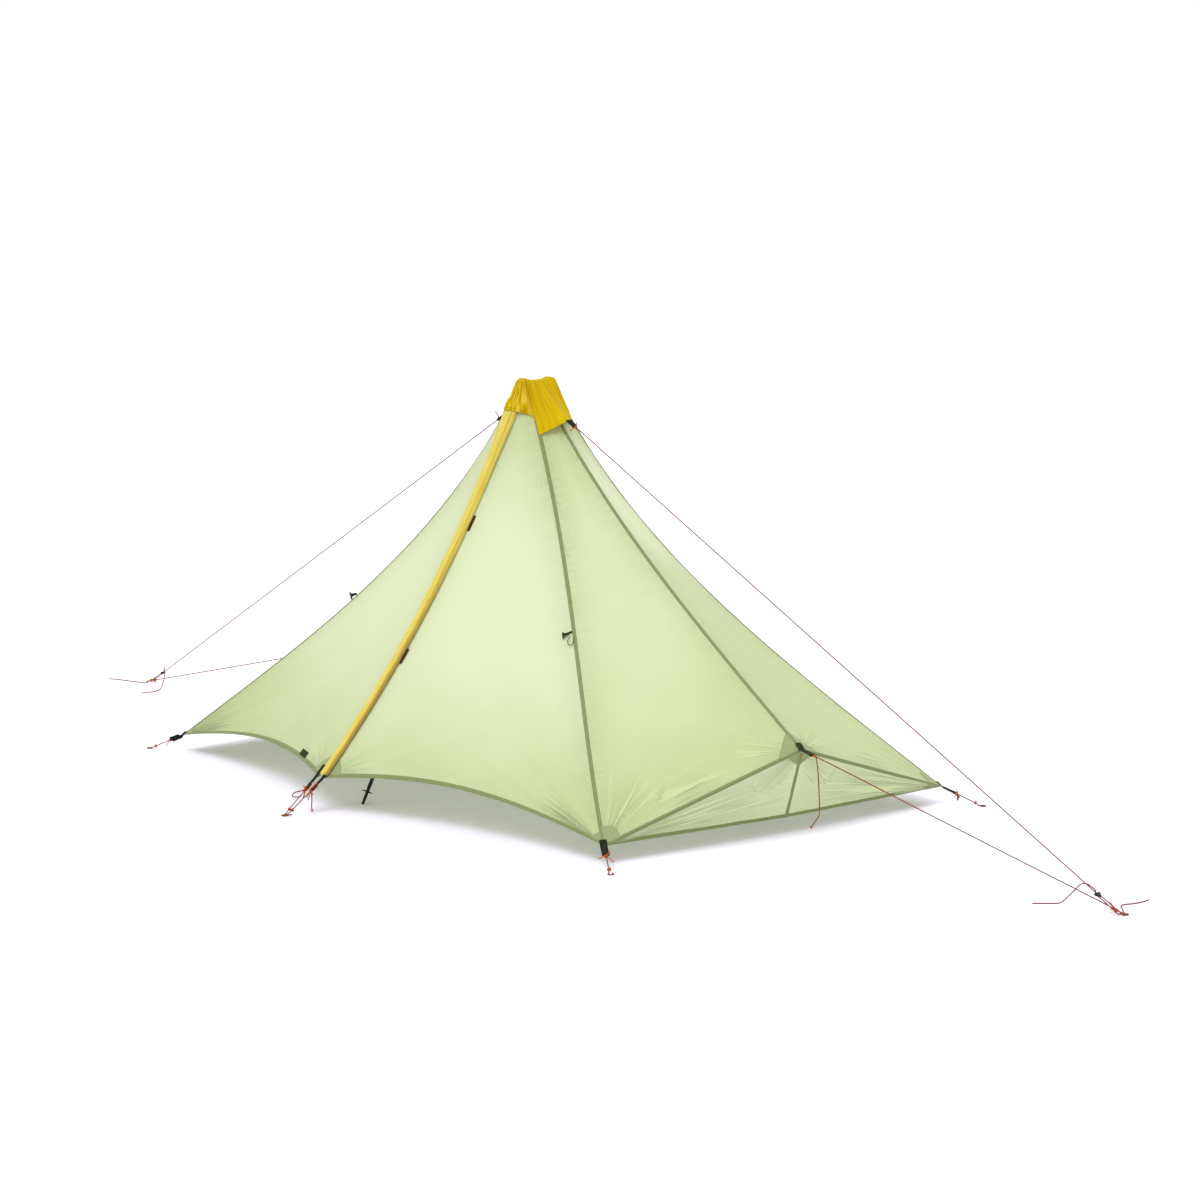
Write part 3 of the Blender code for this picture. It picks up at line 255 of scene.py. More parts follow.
class Front:
    """One side of the front, with its fold line. side is +1 at the foot end and -1 at the head end."""

    def __init__(self, side):
        self.side = side
        self.hip, self.zip = hip(side, -1), middle_arc(-1)
        self.door_top = self.zip(DOOR_TOP)
        self.hem_point = ruled(self.hip, self.zip, FOLD_HEM, hem_share(FOLD_HEM))
        normal = unit(np.cross(self.hip(1.0) - self.door_top, self.zip(1.0) - self.door_top))
        self.normal = normal if normal[1] < 0 else -normal
        self.fold = unit(self.hem_point - self.door_top)
        sideways = np.cross(self.fold, self.normal)
        self.to_zip = sideways if sideways[0] * side < 0 else -sideways

    def cut(self, share):
        a, b = self.hip(share), self.zip(share)
        return ((self.door_top - a) @ self.to_zip) / ((b - a) @ self.to_zip)

    def fixed_point(self, across, down):
        below = np.maximum(down - 1, 0)
        above = DOOR_TOP * np.minimum(down, 1)
        share = above + (hem_share(FOLD_HEM * across) - DOOR_TOP) * below
        end = DOOR_TOP + (hem_share(FOLD_HEM) - DOOR_TOP) * below
        cut = np.where(down <= 1, 1.0, self.cut(end))
        return ruled(self.hip, self.zip, across * cut, share)

    def leaf_point(self, across, down):
        """across runs from the fold to the zip, down from the top of the zip, at 0, to the hem."""
        hem = FOLD_HEM + (1 - FOLD_HEM) * across
        share = DOOR_TOP + (hem_share(hem) - DOOR_TOP) * down
        fold = self.cut(DOOR_TOP + (hem_share(FOLD_HEM) - DOOR_TOP) * down)
        width = np.linalg.norm(self.zip(share) - self.hip(share), axis=-1)
        last = 1 - ZIP_GAP_HALF * np.minimum(down * ZIP_GAP_GROWTH, 1) / width
        return ruled(self.hip, self.zip, fold + (last - fold) * across, share)

    def leaf_width(self, down):
        return np.linalg.norm(self.leaf_point(0 * down + 1, down) - self.leaf_point(0 * down, down), axis=-1)

    def beside_zip(self, distance, down):
        return self.leaf_point(1 - distance / self.leaf_width(down), down)


FRONTS = {1: Front(1), -1: Front(-1)}


# Materials


class Shader:
    """A short way to write the nodes of a material, or of the world."""

    def __init__(self, name, kind="materials"):
        self.owner = getattr(bpy.data, kind).new(name)
        self.owner.use_nodes = True
        self.tree = self.owner.node_tree
        self.tree.nodes.clear()

    def node(self, kind, settings=None, **inputs):
        made = self.tree.nodes.new("ShaderNode" + kind)
        for key, value in (settings or {}).items():
            setattr(made, key, value)
        for key, value in inputs.items():
            socket = made.inputs[int(key[1:]) if key[1:].isdigit() else key.replace("_", " ")]
            if isinstance(value, bpy.types.NodeSocket):
                self.tree.links.new(value, socket)
            else:
                socket.default_value = value
        return made

    def math(self, operation, *values, clamp=False):
        inputs = {f"s{i}": value for i, value in enumerate(values)}
        return self.node("Math", {"operation": operation, "use_clamp": clamp}, **inputs).outputs[0]

    def times(self, product, *values):
        for value in values:
            product = self.math("MULTIPLY", product, value)
        return product

    def range(self, value, low, high, to_low=0.0, to_high=1.0):
        return self.node("MapRange", {"interpolation_type": "SMOOTHSTEP"}, Value=value, From_Min=low,
                         From_Max=high, To_Min=to_low, To_Max=to_high).outputs[0]

    def mix(self, factor, a, b):
        a, b = ((*c, 1) if isinstance(c, tuple) else c for c in (a, b))
        return self.node("Mix", {"data_type": "RGBA"}, s0=factor, s6=a, s7=b).outputs[2]

    def attribute(self, name, output="Fac"):
        return self.node("Attribute", {"attribute_name": name}).outputs[output]

    def cut(self, layer="cut"):
        """The cloth's own coordinates in metres, or its shares: across and along."""
        split = self.node("SeparateXYZ", Vector=self.node("UVMap", {"uv_map": layer}).outputs[0])
        return split.outputs[0], split.outputs[1]

    def combine(self, x, y):
        return self.node("CombineXYZ", X=x, Y=y).outputs[0]

    def here(self):
        return self.node("TexCoord").outputs["Object"]

    def noise(self, vector, scale, detail=3.0, roughness=0.5):
        inputs = {"Vector": vector, "Scale": scale, "Detail": detail, "Roughness": roughness}
        return self.node("TexNoise", **inputs).outputs[0]

    def stretched(self, across, along, across_scale, along_scale, detail):
        """Noise with a scale of its own across and along the cloth."""
        place = self.combine(self.times(across, across_scale), self.times(along, along_scale))
        return self.noise(place, 1.0, detail)

    def line(self, value, period, width):
        """1 on thin lines a period apart."""
        place = self.math("PINGPONG", value, period / 2)
        return self.range(place, width / 2, width / 2 + period * 0.06, 1.0, 0.0)

    def stitches(self, value, row, thread, along, length=0.0016, gap=(0.0003, 0.0005)):
        """Stitches where value is row. thread and gap say where each fades out and in."""
        near = self.range(self.math("ABSOLUTE", self.math("SUBTRACT", value, row)), *thread, 1.0, 0.0)
        return self.times(near, self.range(self.math("PINGPONG", along, length), *gap))

    def bump(self, height, strength, distance, normal=None):
        made = self.node("Bump", Height=height, Strength=strength, Distance=distance)
        if normal:
            self.tree.links.new(normal, made.inputs["Normal"])
        return made.outputs[0]

    def principled(self, base, rough, bump, **sockets):
        inputs = {"Base_Color": base, "Roughness": rough, "Normal": bump}
        return self.node("BsdfPrincipled", **inputs, **sockets).outputs[0]

    def finish(self, surface, output="OutputMaterial"):
        self.tree.links.new(surface, self.node(output).inputs[0])
        return self.owner

    def solid(self, base, rough, bump, **sockets):
        return self.finish(self.principled(base, rough, bump, **sockets))

    def thin(self, share, base, rough, bump, glow=None, **sockets):
        """Cloth that lets this share of the light through."""
        front = self.principled(base, rough, bump, **sockets)
        back = self.node("BsdfTranslucent", Color=base if glow is None else glow, Normal=bump).outputs[0]
        return self.finish(self.node("MixShader", s0=share, s1=front, s2=back).outputs[0])


def scaled(colour, *factors):
    """A colour times one factor, or times one for each of its parts."""
    return tuple(min(part * factor, 1.0) for part, factor in zip(colour, factors * 3))


def cloth_look(name, colour, shade, through, share, puckers=1.0):
    """Thin coated ripstop: light passes through, with a square grid of thicker threads and small puckers. Its
    colour also holds painted light and shade: brighter in a panel's middle, darker by the seams and in the
    low corners, with painted shade and highlight along the wrinkles.
    """
    s = Shader(name)
    across, along = s.cut()
    threads = s.math("MAXIMUM", s.line(across, 0.005, 0.0005), s.line(along, 0.005, 0.0005))
    place = s.combine(across, along)
    cloud, fine = s.noise(place, 3.0, 2.0), s.noise(place, 900.0, 2.0)
    edge, depth = s.attribute("edge"), s.attribute("wrinkled")
    pucker = s.noise(s.attribute("pucker", "Vector"), 1.0, 2.0, 0.6)
    lines = s.noise(s.attribute("wrinkle", "Vector"), 1.0, 1.5, 0.5)
    near = s.times(s.math("SUBTRACT", pucker, 0.5), s.times(edge, puckers))
    drawn = s.times(s.math("SUBTRACT", s.range(lines, 0.42, 0.60), 0.5), s.times(depth, puckers))
    # Painted light and shade: the panel's painted light level mixes in the shade colour, and below zero an
    # even darker painted shade for the low corners.
    level = s.math("ADD", s.attribute("painted_light"), s.times(s.math("SUBTRACT", cloud, 0.5), 0.35))
    base = s.mix(s.range(level, 0.0, 1.0), shade, colour)
    base = s.mix(s.range(level, -0.8, 0.05, 1.0, 0.0), base, scaled(shade, 0.60, 0.65, 0.44))
    base = s.mix(s.times(threads, 0.10), base, scaled(shade, 0.80))
    # Painted shade near the seams, fading out about 11 cm from them.
    base = s.mix(s.times(edge, 0.16), base, scaled(shade, 0.72))
    # Painted shade in the wrinkles' hollows and painted highlight along their ridges.
    base = s.mix(s.times(s.range(lines, 0.60, 0.48), depth, 0.34), base, scaled(shade, 0.72))
    base = s.mix(s.times(s.range(lines, 0.55, 0.66), depth, 0.55 * puckers), base, scaled(shade, 1.45))
    weave = s.bump(s.math("ADD", threads, s.times(fine, 0.5)), 0.25, 0.00012)
    bump = s.bump(drawn, 0.9, 0.0040, s.bump(near, 0.9, 0.006, weave))
    glow = s.mix(s.times(threads, 0.15), through, scaled(through, 0.8))
    return s.thin(share, base, s.range(fine, 0.2, 0.8, 0.40, 0.51), bump, glow, Sheen_Weight=0.08,
                  Specular_IOR_Level=0.35)


OLIVE, OLIVE_DARK, OLIVE_THREAD = (0.33, 0.40, 0.145), (0.27, 0.33, 0.115), (0.44, 0.51, 0.24)
BAND_HALF, HEM_WIDTH = 0.0062, 0.013


def band_look(name, half):
    """A felled seam or hem: doubled cloth with two rows of stitches."""
    s = Shader(name)
    across, along = s.cut()
    side = s.math("ABSOLUTE", across)
    stitch = s.stitches(side, half * 0.62, (0.00035, 0.0006), along)
    grain = s.noise(s.combine(across, along), 700.0, 2.0)
    wave = s.stretched(across, along, 40.0, 160.0, 2.0)
    base = s.mix(s.range(wave, 0.3, 0.7), OLIVE, OLIVE_DARK)
    base = s.mix(s.range(side, half * 0.86, half), base, scaled(OLIVE_DARK, 0.7))
    base = s.mix(stitch, base, OLIVE_THREAD)
    gather = s.math("ADD", wave, s.times(stitch, -0.5))
    bump = s.bump(s.math("ADD", gather, s.times(grain, 0.15)), 0.7, 0.0009)
    return s.thin(0.2, base, s.range(grain, 0.2, 0.8, 0.5, 0.62), bump)


def webbing_look(name, colour, light):
    """Woven tape: ribs across it, a herringbone of yarns and firm edges."""
    s = Shader(name)
    across, along = s.cut()
    ribs = s.math("PINGPONG", along, 0.0007)
    yarns = s.math("PINGPONG", s.math("ADD", across, s.times(along, 0.6)), 0.0006)
    weave = s.times(s.math("ADD", ribs, yarns), 900.0)
    fuzz = s.noise(s.combine(across, along), 1500.0)
    base = s.mix(s.math("MULTIPLY", weave, fuzz, clamp=True), colour, light)
    rough = s.range(fuzz, 0.2, 0.8, 0.72, 0.9)
    return s.solid(base, rough, s.bump(weave, 0.8, 0.0004), Specular_IOR_Level=0.15)


def cord_look(name, colour, dark, light):
    """A braided cord: two sets of strands that cross, in the tube's own coordinates."""
    s = Shader(name)
    around, along = s.cut()
    strands = [s.math("SINE", s.times(s.math(way, around, along), 2 * math.pi))
               for way in ("ADD", "SUBTRACT")]
    braid = s.math("MAXIMUM", *strands)
    fuzz = s.noise(s.here(), 900.0, 2.0)
    base = s.mix(s.range(braid, 0.1, 0.9), dark, colour)
    base = s.mix(s.times(s.range(fuzz, 0.62, 0.75), 0.5), base, light)
    bump = s.bump(s.math("ADD", braid, fuzz), 0.6, 0.0003)
    rough = s.range(fuzz, 0.2, 0.8, 0.5, 0.7)
    return s.solid(base, rough, bump, Sheen_Weight=0.1, Specular_IOR_Level=0.2)


def plastic_look(name, colour, scuffed, roughness=0.42):
    s = Shader(name)
    grain = s.noise(s.here(), 1800.0)
    scuffs = s.noise(s.here(), 160.0, 5.0, 0.7)
    base = s.mix(s.times(s.range(scuffs, 0.55, 0.72), 0.6), colour, scuffed)
    rough = s.range(scuffs, 0.3, 0.7, roughness, roughness + 0.16)
    return s.solid(base, rough, s.bump(grain, 0.25, 0.0002))


def metal_look(name, colour, worn_colour, roughness, stretch=(1.0, 1.0, 1.0)):
    """Anodised or cast metal with fine drawn lines and small scratches."""
    s = Shader(name)
    drawn = s.noise(s.node("Mapping", Vector=s.here(), Scale=stretch).outputs[0], 600.0, 4.0, 0.6)
    marks = s.noise(s.here(), 90.0, 6.0, 0.75)
    base = s.mix(s.times(s.range(marks, 0.6, 0.72), 0.7), colour, worn_colour)
    rough = s.range(drawn, 0.3, 0.7, roughness, roughness + 0.15)
    return s.solid(base, rough, s.bump(drawn, 0.2, 0.00015), Metallic=1.0)


def foam_look(name, colour, light):
    s = Shader(name)
    cells = s.node("TexVoronoi", Vector=s.here(), Scale=900.0).outputs["Distance"]
    wear = s.noise(s.here(), 60.0, 4.0)
    base = s.mix(s.range(wear, 0.45, 0.7), colour, light)
    return s.solid(base, s.range(cells, 0.0, 0.6, 0.95, 0.8), s.bump(cells, 0.7, 0.0006))


def flap_look(name):
    """The storm flap: doubled yellow cloth, folded and stitched along both edges, with painted light and
    shade along its lengthwise wrinkles and painted shade along its free right edge.
    """
    s = Shader(name)
    across, down = s.cut("share")
    metres_across, metres_down = s.cut()
    side = s.math("ABSOLUTE", s.math("SUBTRACT", across, 0.5))
    stitch = s.stitches(side, 0.33, (0.006, 0.012), metres_down)
    wave = s.stretched(metres_across, metres_down, 160.0, 14.0, 3.0)
    grain = s.noise(s.combine(metres_across, metres_down), 900.0, 2.0)
    # Painted shade along the free right edge, where it stands off the leaf, stronger lower down.
    right = s.times(s.range(across, 0.83, 0.90), s.range(down, 0.15, 0.75, 0.05, 0.85))
    # Painted light on the ridges of the lengthwise wrinkles and painted shade in their hollows.
    base = s.mix(s.range(wave, 0.3, 0.7), (0.94, 0.72, 0.050), (1.0, 0.89, 0.21))
    base = s.mix(s.times(s.range(side, 0.24, 0.34), 0.20), base, (0.72, 0.42, 0.010))
    base = s.mix(right, base, (0.42, 0.23, 0.010))
    base = s.mix(stitch, base, (0.52, 0.27, 0.02))
    height = s.math("ADD", wave, s.times(stitch, -0.3))
    bump = s.bump(s.math("ADD", height, s.times(grain, 0.06)), 0.6, 0.0025)
    return s.thin(0.18, base, s.range(grain, 0.2, 0.8, 0.42, 0.55), bump)


def cap_look(name):
    """The cap: yellow coated cloth, with vertical creases painted light and dark, streaks of painted
    highlight and shade along its gathers, and a row of stitches above its edge.
    """
    s = Shader(name)
    down = s.cut("share")[1]
    metres_around, metres_down = s.cut()
    gathered = s.attribute("gathered")
    creases = s.stretched(metres_around, metres_down, 130.0, 12.0, 3.0)
    streaks = s.stretched(metres_around, metres_down, 230.0, 22.0, 1.0)
    grain = s.noise(s.combine(metres_around, metres_down), 900.0, 2.0)
    zigzag = s.stitches(down, 0.93, (0.005, 0.010), metres_around, 0.0019, (0.0004, 0.0007))
    stitch = s.times(zigzag, gathered)
    # Painted shade in the creases and painted light on their ridges.
    base = s.mix(s.range(creases, 0.25, 0.7), (0.59, 0.385, 0.001), (0.87, 0.61, 0.002))
    base = s.mix(s.range(down, 0.45, 0.95, 0.0, 0.35), base, (0.93, 0.66, 0.004))
    # Painted highlights and painted shade in streaks along the gathers.
    base = s.mix(s.times(s.range(streaks, 0.50, 0.62), gathered, 0.8), base, (0.98, 0.78, 0.12))
    base = s.mix(s.times(s.range(streaks, 0.46, 0.36), gathered, 0.6), base, (0.46, 0.28, 0.001))
    base = s.mix(stitch, base, (0.50, 0.26, 0.004))
    height = s.math("ADD", creases, s.times(stitch, -0.2))
    bump = s.bump(s.math("ADD", height, s.times(grain, 0.05)), 0.6, 0.002)
    return s.thin(0.15, base, s.range(grain, 0.2, 0.8, 0.46, 0.58), bump, Specular_IOR_Level=0.03)


LOOKS = {
    "fly": cloth_look("fly_cloth_look", (0.90, 0.985, 0.63), (0.61, 0.71, 0.32), (0.88, 0.92, 0.84), 0.14),
    "patch": cloth_look("patch_look", (0.43, 0.51, 0.23), (0.40, 0.48, 0.21), (0.48, 0.57, 0.26), 0.16, 0.4),
    "band": band_look("seam_look", BAND_HALF),
    "hem": band_look("hem_look", HEM_WIDTH / 2),
    "cap": cap_look("cap_look"),
    "flap": flap_look("flap_look"),
    "webbing": webbing_look("webbing_look", (0.007, 0.010, 0.005), (0.030, 0.038, 0.018)),
    "green_webbing": webbing_look("green_webbing_look", (0.016, 0.026, 0.007), (0.055, 0.080, 0.022)),
    "brown_tape": webbing_look("brown_tape_look", (0.045, 0.020, 0.006), (0.12, 0.06, 0.02)),
    "zip_tape": webbing_look("zip_tape_look", (0.10, 0.055, 0.015), (0.20, 0.12, 0.04)),
    "cord": cord_look("cord_look", (0.32, 0.095, 0.015), (0.19, 0.054, 0.009), (0.48, 0.19, 0.06)),
    "knot": cord_look("knot_look", (0.74, 0.150, 0.018), (0.54, 0.085, 0.009), (0.86, 0.33, 0.11)),
    "loop": cord_look("loop_look", (0.16, 0.20, 0.09), (0.09, 0.12, 0.05), (0.30, 0.36, 0.20)),
    "plastic": plastic_look("dark_plastic_look", (0.006, 0.007, 0.006), (0.026, 0.028, 0.024), 0.55),
    "green_plastic": plastic_look("toggle_look", (0.016, 0.026, 0.011), (0.060, 0.080, 0.040)),
    "coil": plastic_look("coil_look", (0.055, 0.030, 0.010), (0.14, 0.09, 0.04), 0.32),
    "zinc": metal_look("zinc_look", (0.30, 0.29, 0.27), (0.55, 0.53, 0.48), 0.32),
    "tube": metal_look("tube_look", (0.080, 0.074, 0.066), (0.30, 0.30, 0.29), 0.36, (8.0, 8.0, 0.4)),
    "foam": foam_look("grip_foam_look", (0.014, 0.014, 0.014), (0.045, 0.044, 0.042)),
}


def paint(obj, look):
    obj.data.materials.clear()
    obj.data.materials.append(LOOKS[look])


def link(name, mesh, look):
    obj = add_object(name, mesh)
    paint(obj, look)
    return obj


def soften(obj, width):
    """Rounds a piece's edges."""
    bevel = obj.modifiers.new("edges", "BEVEL")
    bevel.width, bevel.segments, bevel.limit_method = width, 2, "ANGLE"


# Grids of points, which become meshes with the cloth's own coordinates in metres


def steps(first, last, count):
    return np.linspace(first, last, count + 1)


def grid_normals(points):
    """Unit normals of a grid of points, turned away from the inside of the tent."""
    across, along = np.gradient(points, axis=1), np.gradient(points, axis=0)
    normals = np.cross(across, along)
    size = np.linalg.norm(normals, axis=-1, keepdims=True)
    usual = unit(normals.sum((0, 1)))
    normals = np.where(size > 1e-9, normals / np.maximum(size, 1e-12), usual)
    outward = ((points - INSIDE) * normals).sum(-1).sum()
    return normals if outward > 0 else -normals


def metres(points):
    """Each point's place in the flat cloth: across from the row's middle, and along the middle column."""
    run = np.linalg.norm(np.diff(points, axis=1), axis=-1)
    across = np.concatenate([np.zeros((len(points), 1)), np.cumsum(run, 1)], 1)
    across -= across[:, -1:] / 2
    fall = run_along(points[:, points.shape[1] // 2])
    return np.stack([across, np.broadcast_to(fall[:, None], across.shape)], -1)


def grid_mesh(name, points, look, cyclic=False, attributes=None, width=None):
    """A mesh through rows of points, with each point's place in metres and its share of the grid as UVs."""
    rows, columns = points.shape[:2]
    share = np.stack(np.meshgrid(steps(0, 1, columns - 1), steps(0, 1, rows - 1)), -1)
    place = metres(points)
    if width:
        place[..., 0] = share[..., 0] * width
    count = columns if cyclic else columns - 1
    quads = np.array([(r * columns + c, (r + 1) * columns + c, (r + 1) * columns + (c + 1) % columns,
                       r * columns + (c + 1) % columns) for r in range(rows - 1) for c in range(count)])
    flat = points.reshape(-1, 3)
    first = flat[quads]
    turn = np.cross(first[:, 2] - first[:, 0], first[:, 3] - first[:, 1])
    if ((first.mean(1) - INSIDE) * turn).sum() <= 0:
        quads = quads[:, ::-1]
    mesh = bpy.data.meshes.new(name)
    mesh.from_pydata(flat.tolist(), [], quads.tolist())
    for layer, values in (("cut", place), ("share", share)):
        found = values.reshape(-1, 2)[quads]
        if cyclic:
            # The last column's faces end one step past it, not back at the first
            past = values[:, -1, 0] + (values[:, 1, 0] - values[:, 0, 0])
            wrapped = (np.ptp(quads % columns, axis=1)[:, None] > 1) & (quads % columns == 0)
            found[wrapped, 0] = past[quads[wrapped] // columns]
        mesh.uv_layers.new(name=layer).data.foreach_set("uv", found.astype(np.float32).ravel())
    for key, values in (attributes or {}).items():
        kind, field = ("FLOAT", "value") if values.ndim == 2 else ("FLOAT_VECTOR", "vector")
        mesh.attributes.new(key, kind, "POINT").data.foreach_set(field, values.astype(np.float32).ravel())
    clean = bmesh.new()
    clean.from_mesh(mesh)
    bmesh.ops.remove_doubles(clean, verts=clean.verts, dist=1e-5)
    clean.to_mesh(mesh)
    clean.free()
    mesh.shade_smooth()
    return link(name, mesh, look)


def area_of(obj):
    return sum(p.area for p in obj.data.polygons)


def thicken(obj, thickness):
    solid = obj.modifiers.new("thickness", "SOLIDIFY")
    solid.thickness, solid.offset = thickness, 0.0
    return obj


def fold_blend(obj):
    """Bakes the transform of a piece of the front into its mesh."""
    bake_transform(obj)


# The fly


def soft_step(value):
    value = np.clip(value, 0, 1)
    return value * value * (3 - 2 * value)


def round_corner(points, corner, first, second):
    """Each point's turn about a corner, from 0 at the first edge to 1 at the second, and its distance."""
    side = unit(second - first * first.dot(second))
    whole = math.acos(np.clip(first.dot(second), -1, 1))
    away = points - corner
    return np.arctan2(away @ side, away @ first) / whole, np.linalg.norm(away, axis=-1)


def creases(points, corner, first, second, height, reach, count, lean, phase):
    """Shallow folds that run out of a corner, between the directions of its two edges."""
    turn, far = round_corner(points, corner, first, second)
    inside = soft_step(turn / 0.10) * soft_step((1 - turn) / 0.10)
    wave = (np.sin(2 * math.pi * count * turn + phase) * 0.5
            + np.sin(2 * math.pi * count * 1.7 * turn + 1.9 * phase + 0.6) * 0.3
            + np.sin(2 * math.pi * count * 0.53 * turn + 2.3 * phase + 2.1) * 0.5)
    grow = far / (0.35 * reach) * np.exp(1 - far / (0.35 * reach))
    weight = np.exp(-((turn - lean) / 0.45) ** 2)
    return height * wave * inside * grow * weight


def billow(points, height):
    x, y, z = points[..., 0], points[..., 1], points[..., 2]
    broad = np.sin(11 * x + 7 * z + 3 * y) * np.sin(9 * z - 13 * y + 1.3)
    return height * (broad + 0.5 * np.sin(23 * x - 17 * z + 2.1))


def edge_share(across, down):
    """How far inside the edges a point lies, from 0 at a seam."""
    return soft_step(across / 0.06) * soft_step((1 - across) / 0.06) * soft_step((1.0 - down) / 0.05)


def painted_light_level(points, whole, down, low_corners):
    """Painted light and shade on the cloth: full in a panel's middle, less towards its seams and least in its
    low corners, which are painted dark as if in shade.
    """
    middle = 0.55 + 0.45 * np.sqrt(np.clip(np.sin(math.pi * np.clip(whole, 0, 1)), 0, 1))
    lower = np.clip(down, 0, 1) - 0.12 * np.clip(down - 0.5, 0, 1)
    middle = middle * (0.32 + 0.68 * np.sin(math.pi * lower) ** 1.7)
    for corner, reach, depth in low_corners:
        far = np.linalg.norm(points - corner, axis=-1)
        middle = middle - depth * np.exp(-(far / reach) ** 1.5)
    return np.clip(middle, -1, 1)


def fan(points, corner, first, second, count, reach, lean, spread, depth):
    """Fine wrinkles that run out of a corner: their depth, and coordinates that change fast across them."""
    turn, far = round_corner(points, corner, first, second)
    weight = depth * np.exp(-((turn - lean) / spread) ** 2) * soft_step(far / 0.05)
    weight = weight * soft_step((reach - far) / (0.6 * reach))
    return weight, np.stack([turn * count, far * 2.5, 0 * far], -1)


def corner_folds(points, corner, first, second, fold, mark):
    """The creases and the fan of wrinkles that run out of a corner, between the ways to two points."""
    ways = unit(first - corner), unit(second - corner)
    return (corner, *ways, *fold), fan(points, corner, *ways, *mark)


def strokes(points, centre, along, period, reach, depth):
    """A group of short straight wrinkles side by side."""
    away = points - centre
    run = away @ along
    rest = away - run[..., None] * along
    axis = unit(np.cross(along, outward_normal(vec(along[0], along[1], -1))))
    across = rest @ axis
    weight = depth * np.exp(-(run / reach) ** 2 - (across / (0.55 * reach)) ** 2)
    return weight, np.stack([across / period, run * 7, 0 * run + 5.5], -1)


def near_seam(points, lines, reach):
    """1 on a seam, falling to 0 at reach from it, with the coordinates that its puckers follow."""
    best, second = np.full(points.shape[:2], 9.0), np.full(points.shape[:2], 9.0)
    way = np.zeros(points.shape)
    for number, line in enumerate(lines):
        flat = points.reshape(-1, 3)
        along = run_along(line)
        gaps = np.linalg.norm(flat[:, None] - line[None], axis=-1)
        nearest = gaps.argmin(1)
        gap = gaps[np.arange(len(flat)), nearest].reshape(best.shape)
        place = along[nearest].reshape(best.shape)
        closer = gap < best
        spot = np.stack([place * 70 + gap * 20, gap * 9, np.full(gap.shape, number * 3.7)], -1)
        way = np.where(closer[..., None], spot, way)
        second = np.where(closer, best, np.minimum(second, gap))
        best = np.minimum(best, gap)
    return np.clip(1 - best / reach, 0, 1) ** 1.5 * np.clip((second - best) / 0.03, 0, 1), way


SHEETS = []


def panel(name, points, inside, folded, lines, nodes, held_by, painted_level, side=None,
          more_folds=(), more_marks=()):
    """A sewn panel, billowed and creased inside its seams, with what its material needs to draw them and the
    painted light and shade it is given.
    """
    folds, marks = zip(*folded)
    height = billow(points, 0.0011)
    for crease in (*folds, *more_folds):
        height = height + creases(points, *crease)
    points = points + grid_normals(points) * (height * inside + CLOTH / 2)[..., None]
    edge, way = near_seam(points, lines, 0.11)
    drawn, next_drawn, line = np.zeros(edge.shape), np.zeros(edge.shape), np.zeros(points.shape)
    for number, (weight, place) in enumerate((*marks, *more_marks)):
        line = np.where((weight > drawn)[..., None], place + vec(0, 0, number * 3.1), line)
        next_drawn = np.maximum(next_drawn, np.minimum(drawn, weight))
        drawn = np.maximum(drawn, weight)
    drawn = drawn * np.clip((drawn - next_drawn) / 0.15, 0, 1)
    layers = {"edge": edge, "pucker": way, "painted_light": painted_level, "wrinkle": line, "wrinkled": drawn}
    obj = grid_mesh(f"{name}_cloth", points, "fly", attributes=layers)
    if side:
        fold_blend(obj)
    else:
        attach(obj, "fly")
    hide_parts(*nodes)
    cut = metres(points)
    width = float(cut[:, -1, 0].max() - cut[:, 0, 0].min())
    length = float(max(run_along(points[:, c])[-1] for c in (0, -1, points.shape[1] // 2)))
    SHEETS.append((obj, width, length, area_of(obj), held_by))
    PANELS[name] = obj


def seam_line(seam, count=60):
    return seam(steps(0, 1, count))


def straight(a, b, count=40):
    return a + (b - a) * steps(0, 1, count)[:, None]


def mirrored(last, count):
    """Shares from -last through 0 to last."""
    half = steps(0, last, count)
    return np.concatenate([-half[:0:-1], half])


# How far up a seam, and how many points along a hem, give its direction at a corner
UP_SEAM, ALONG_HEM = 0.93, 8
PANELS = {}


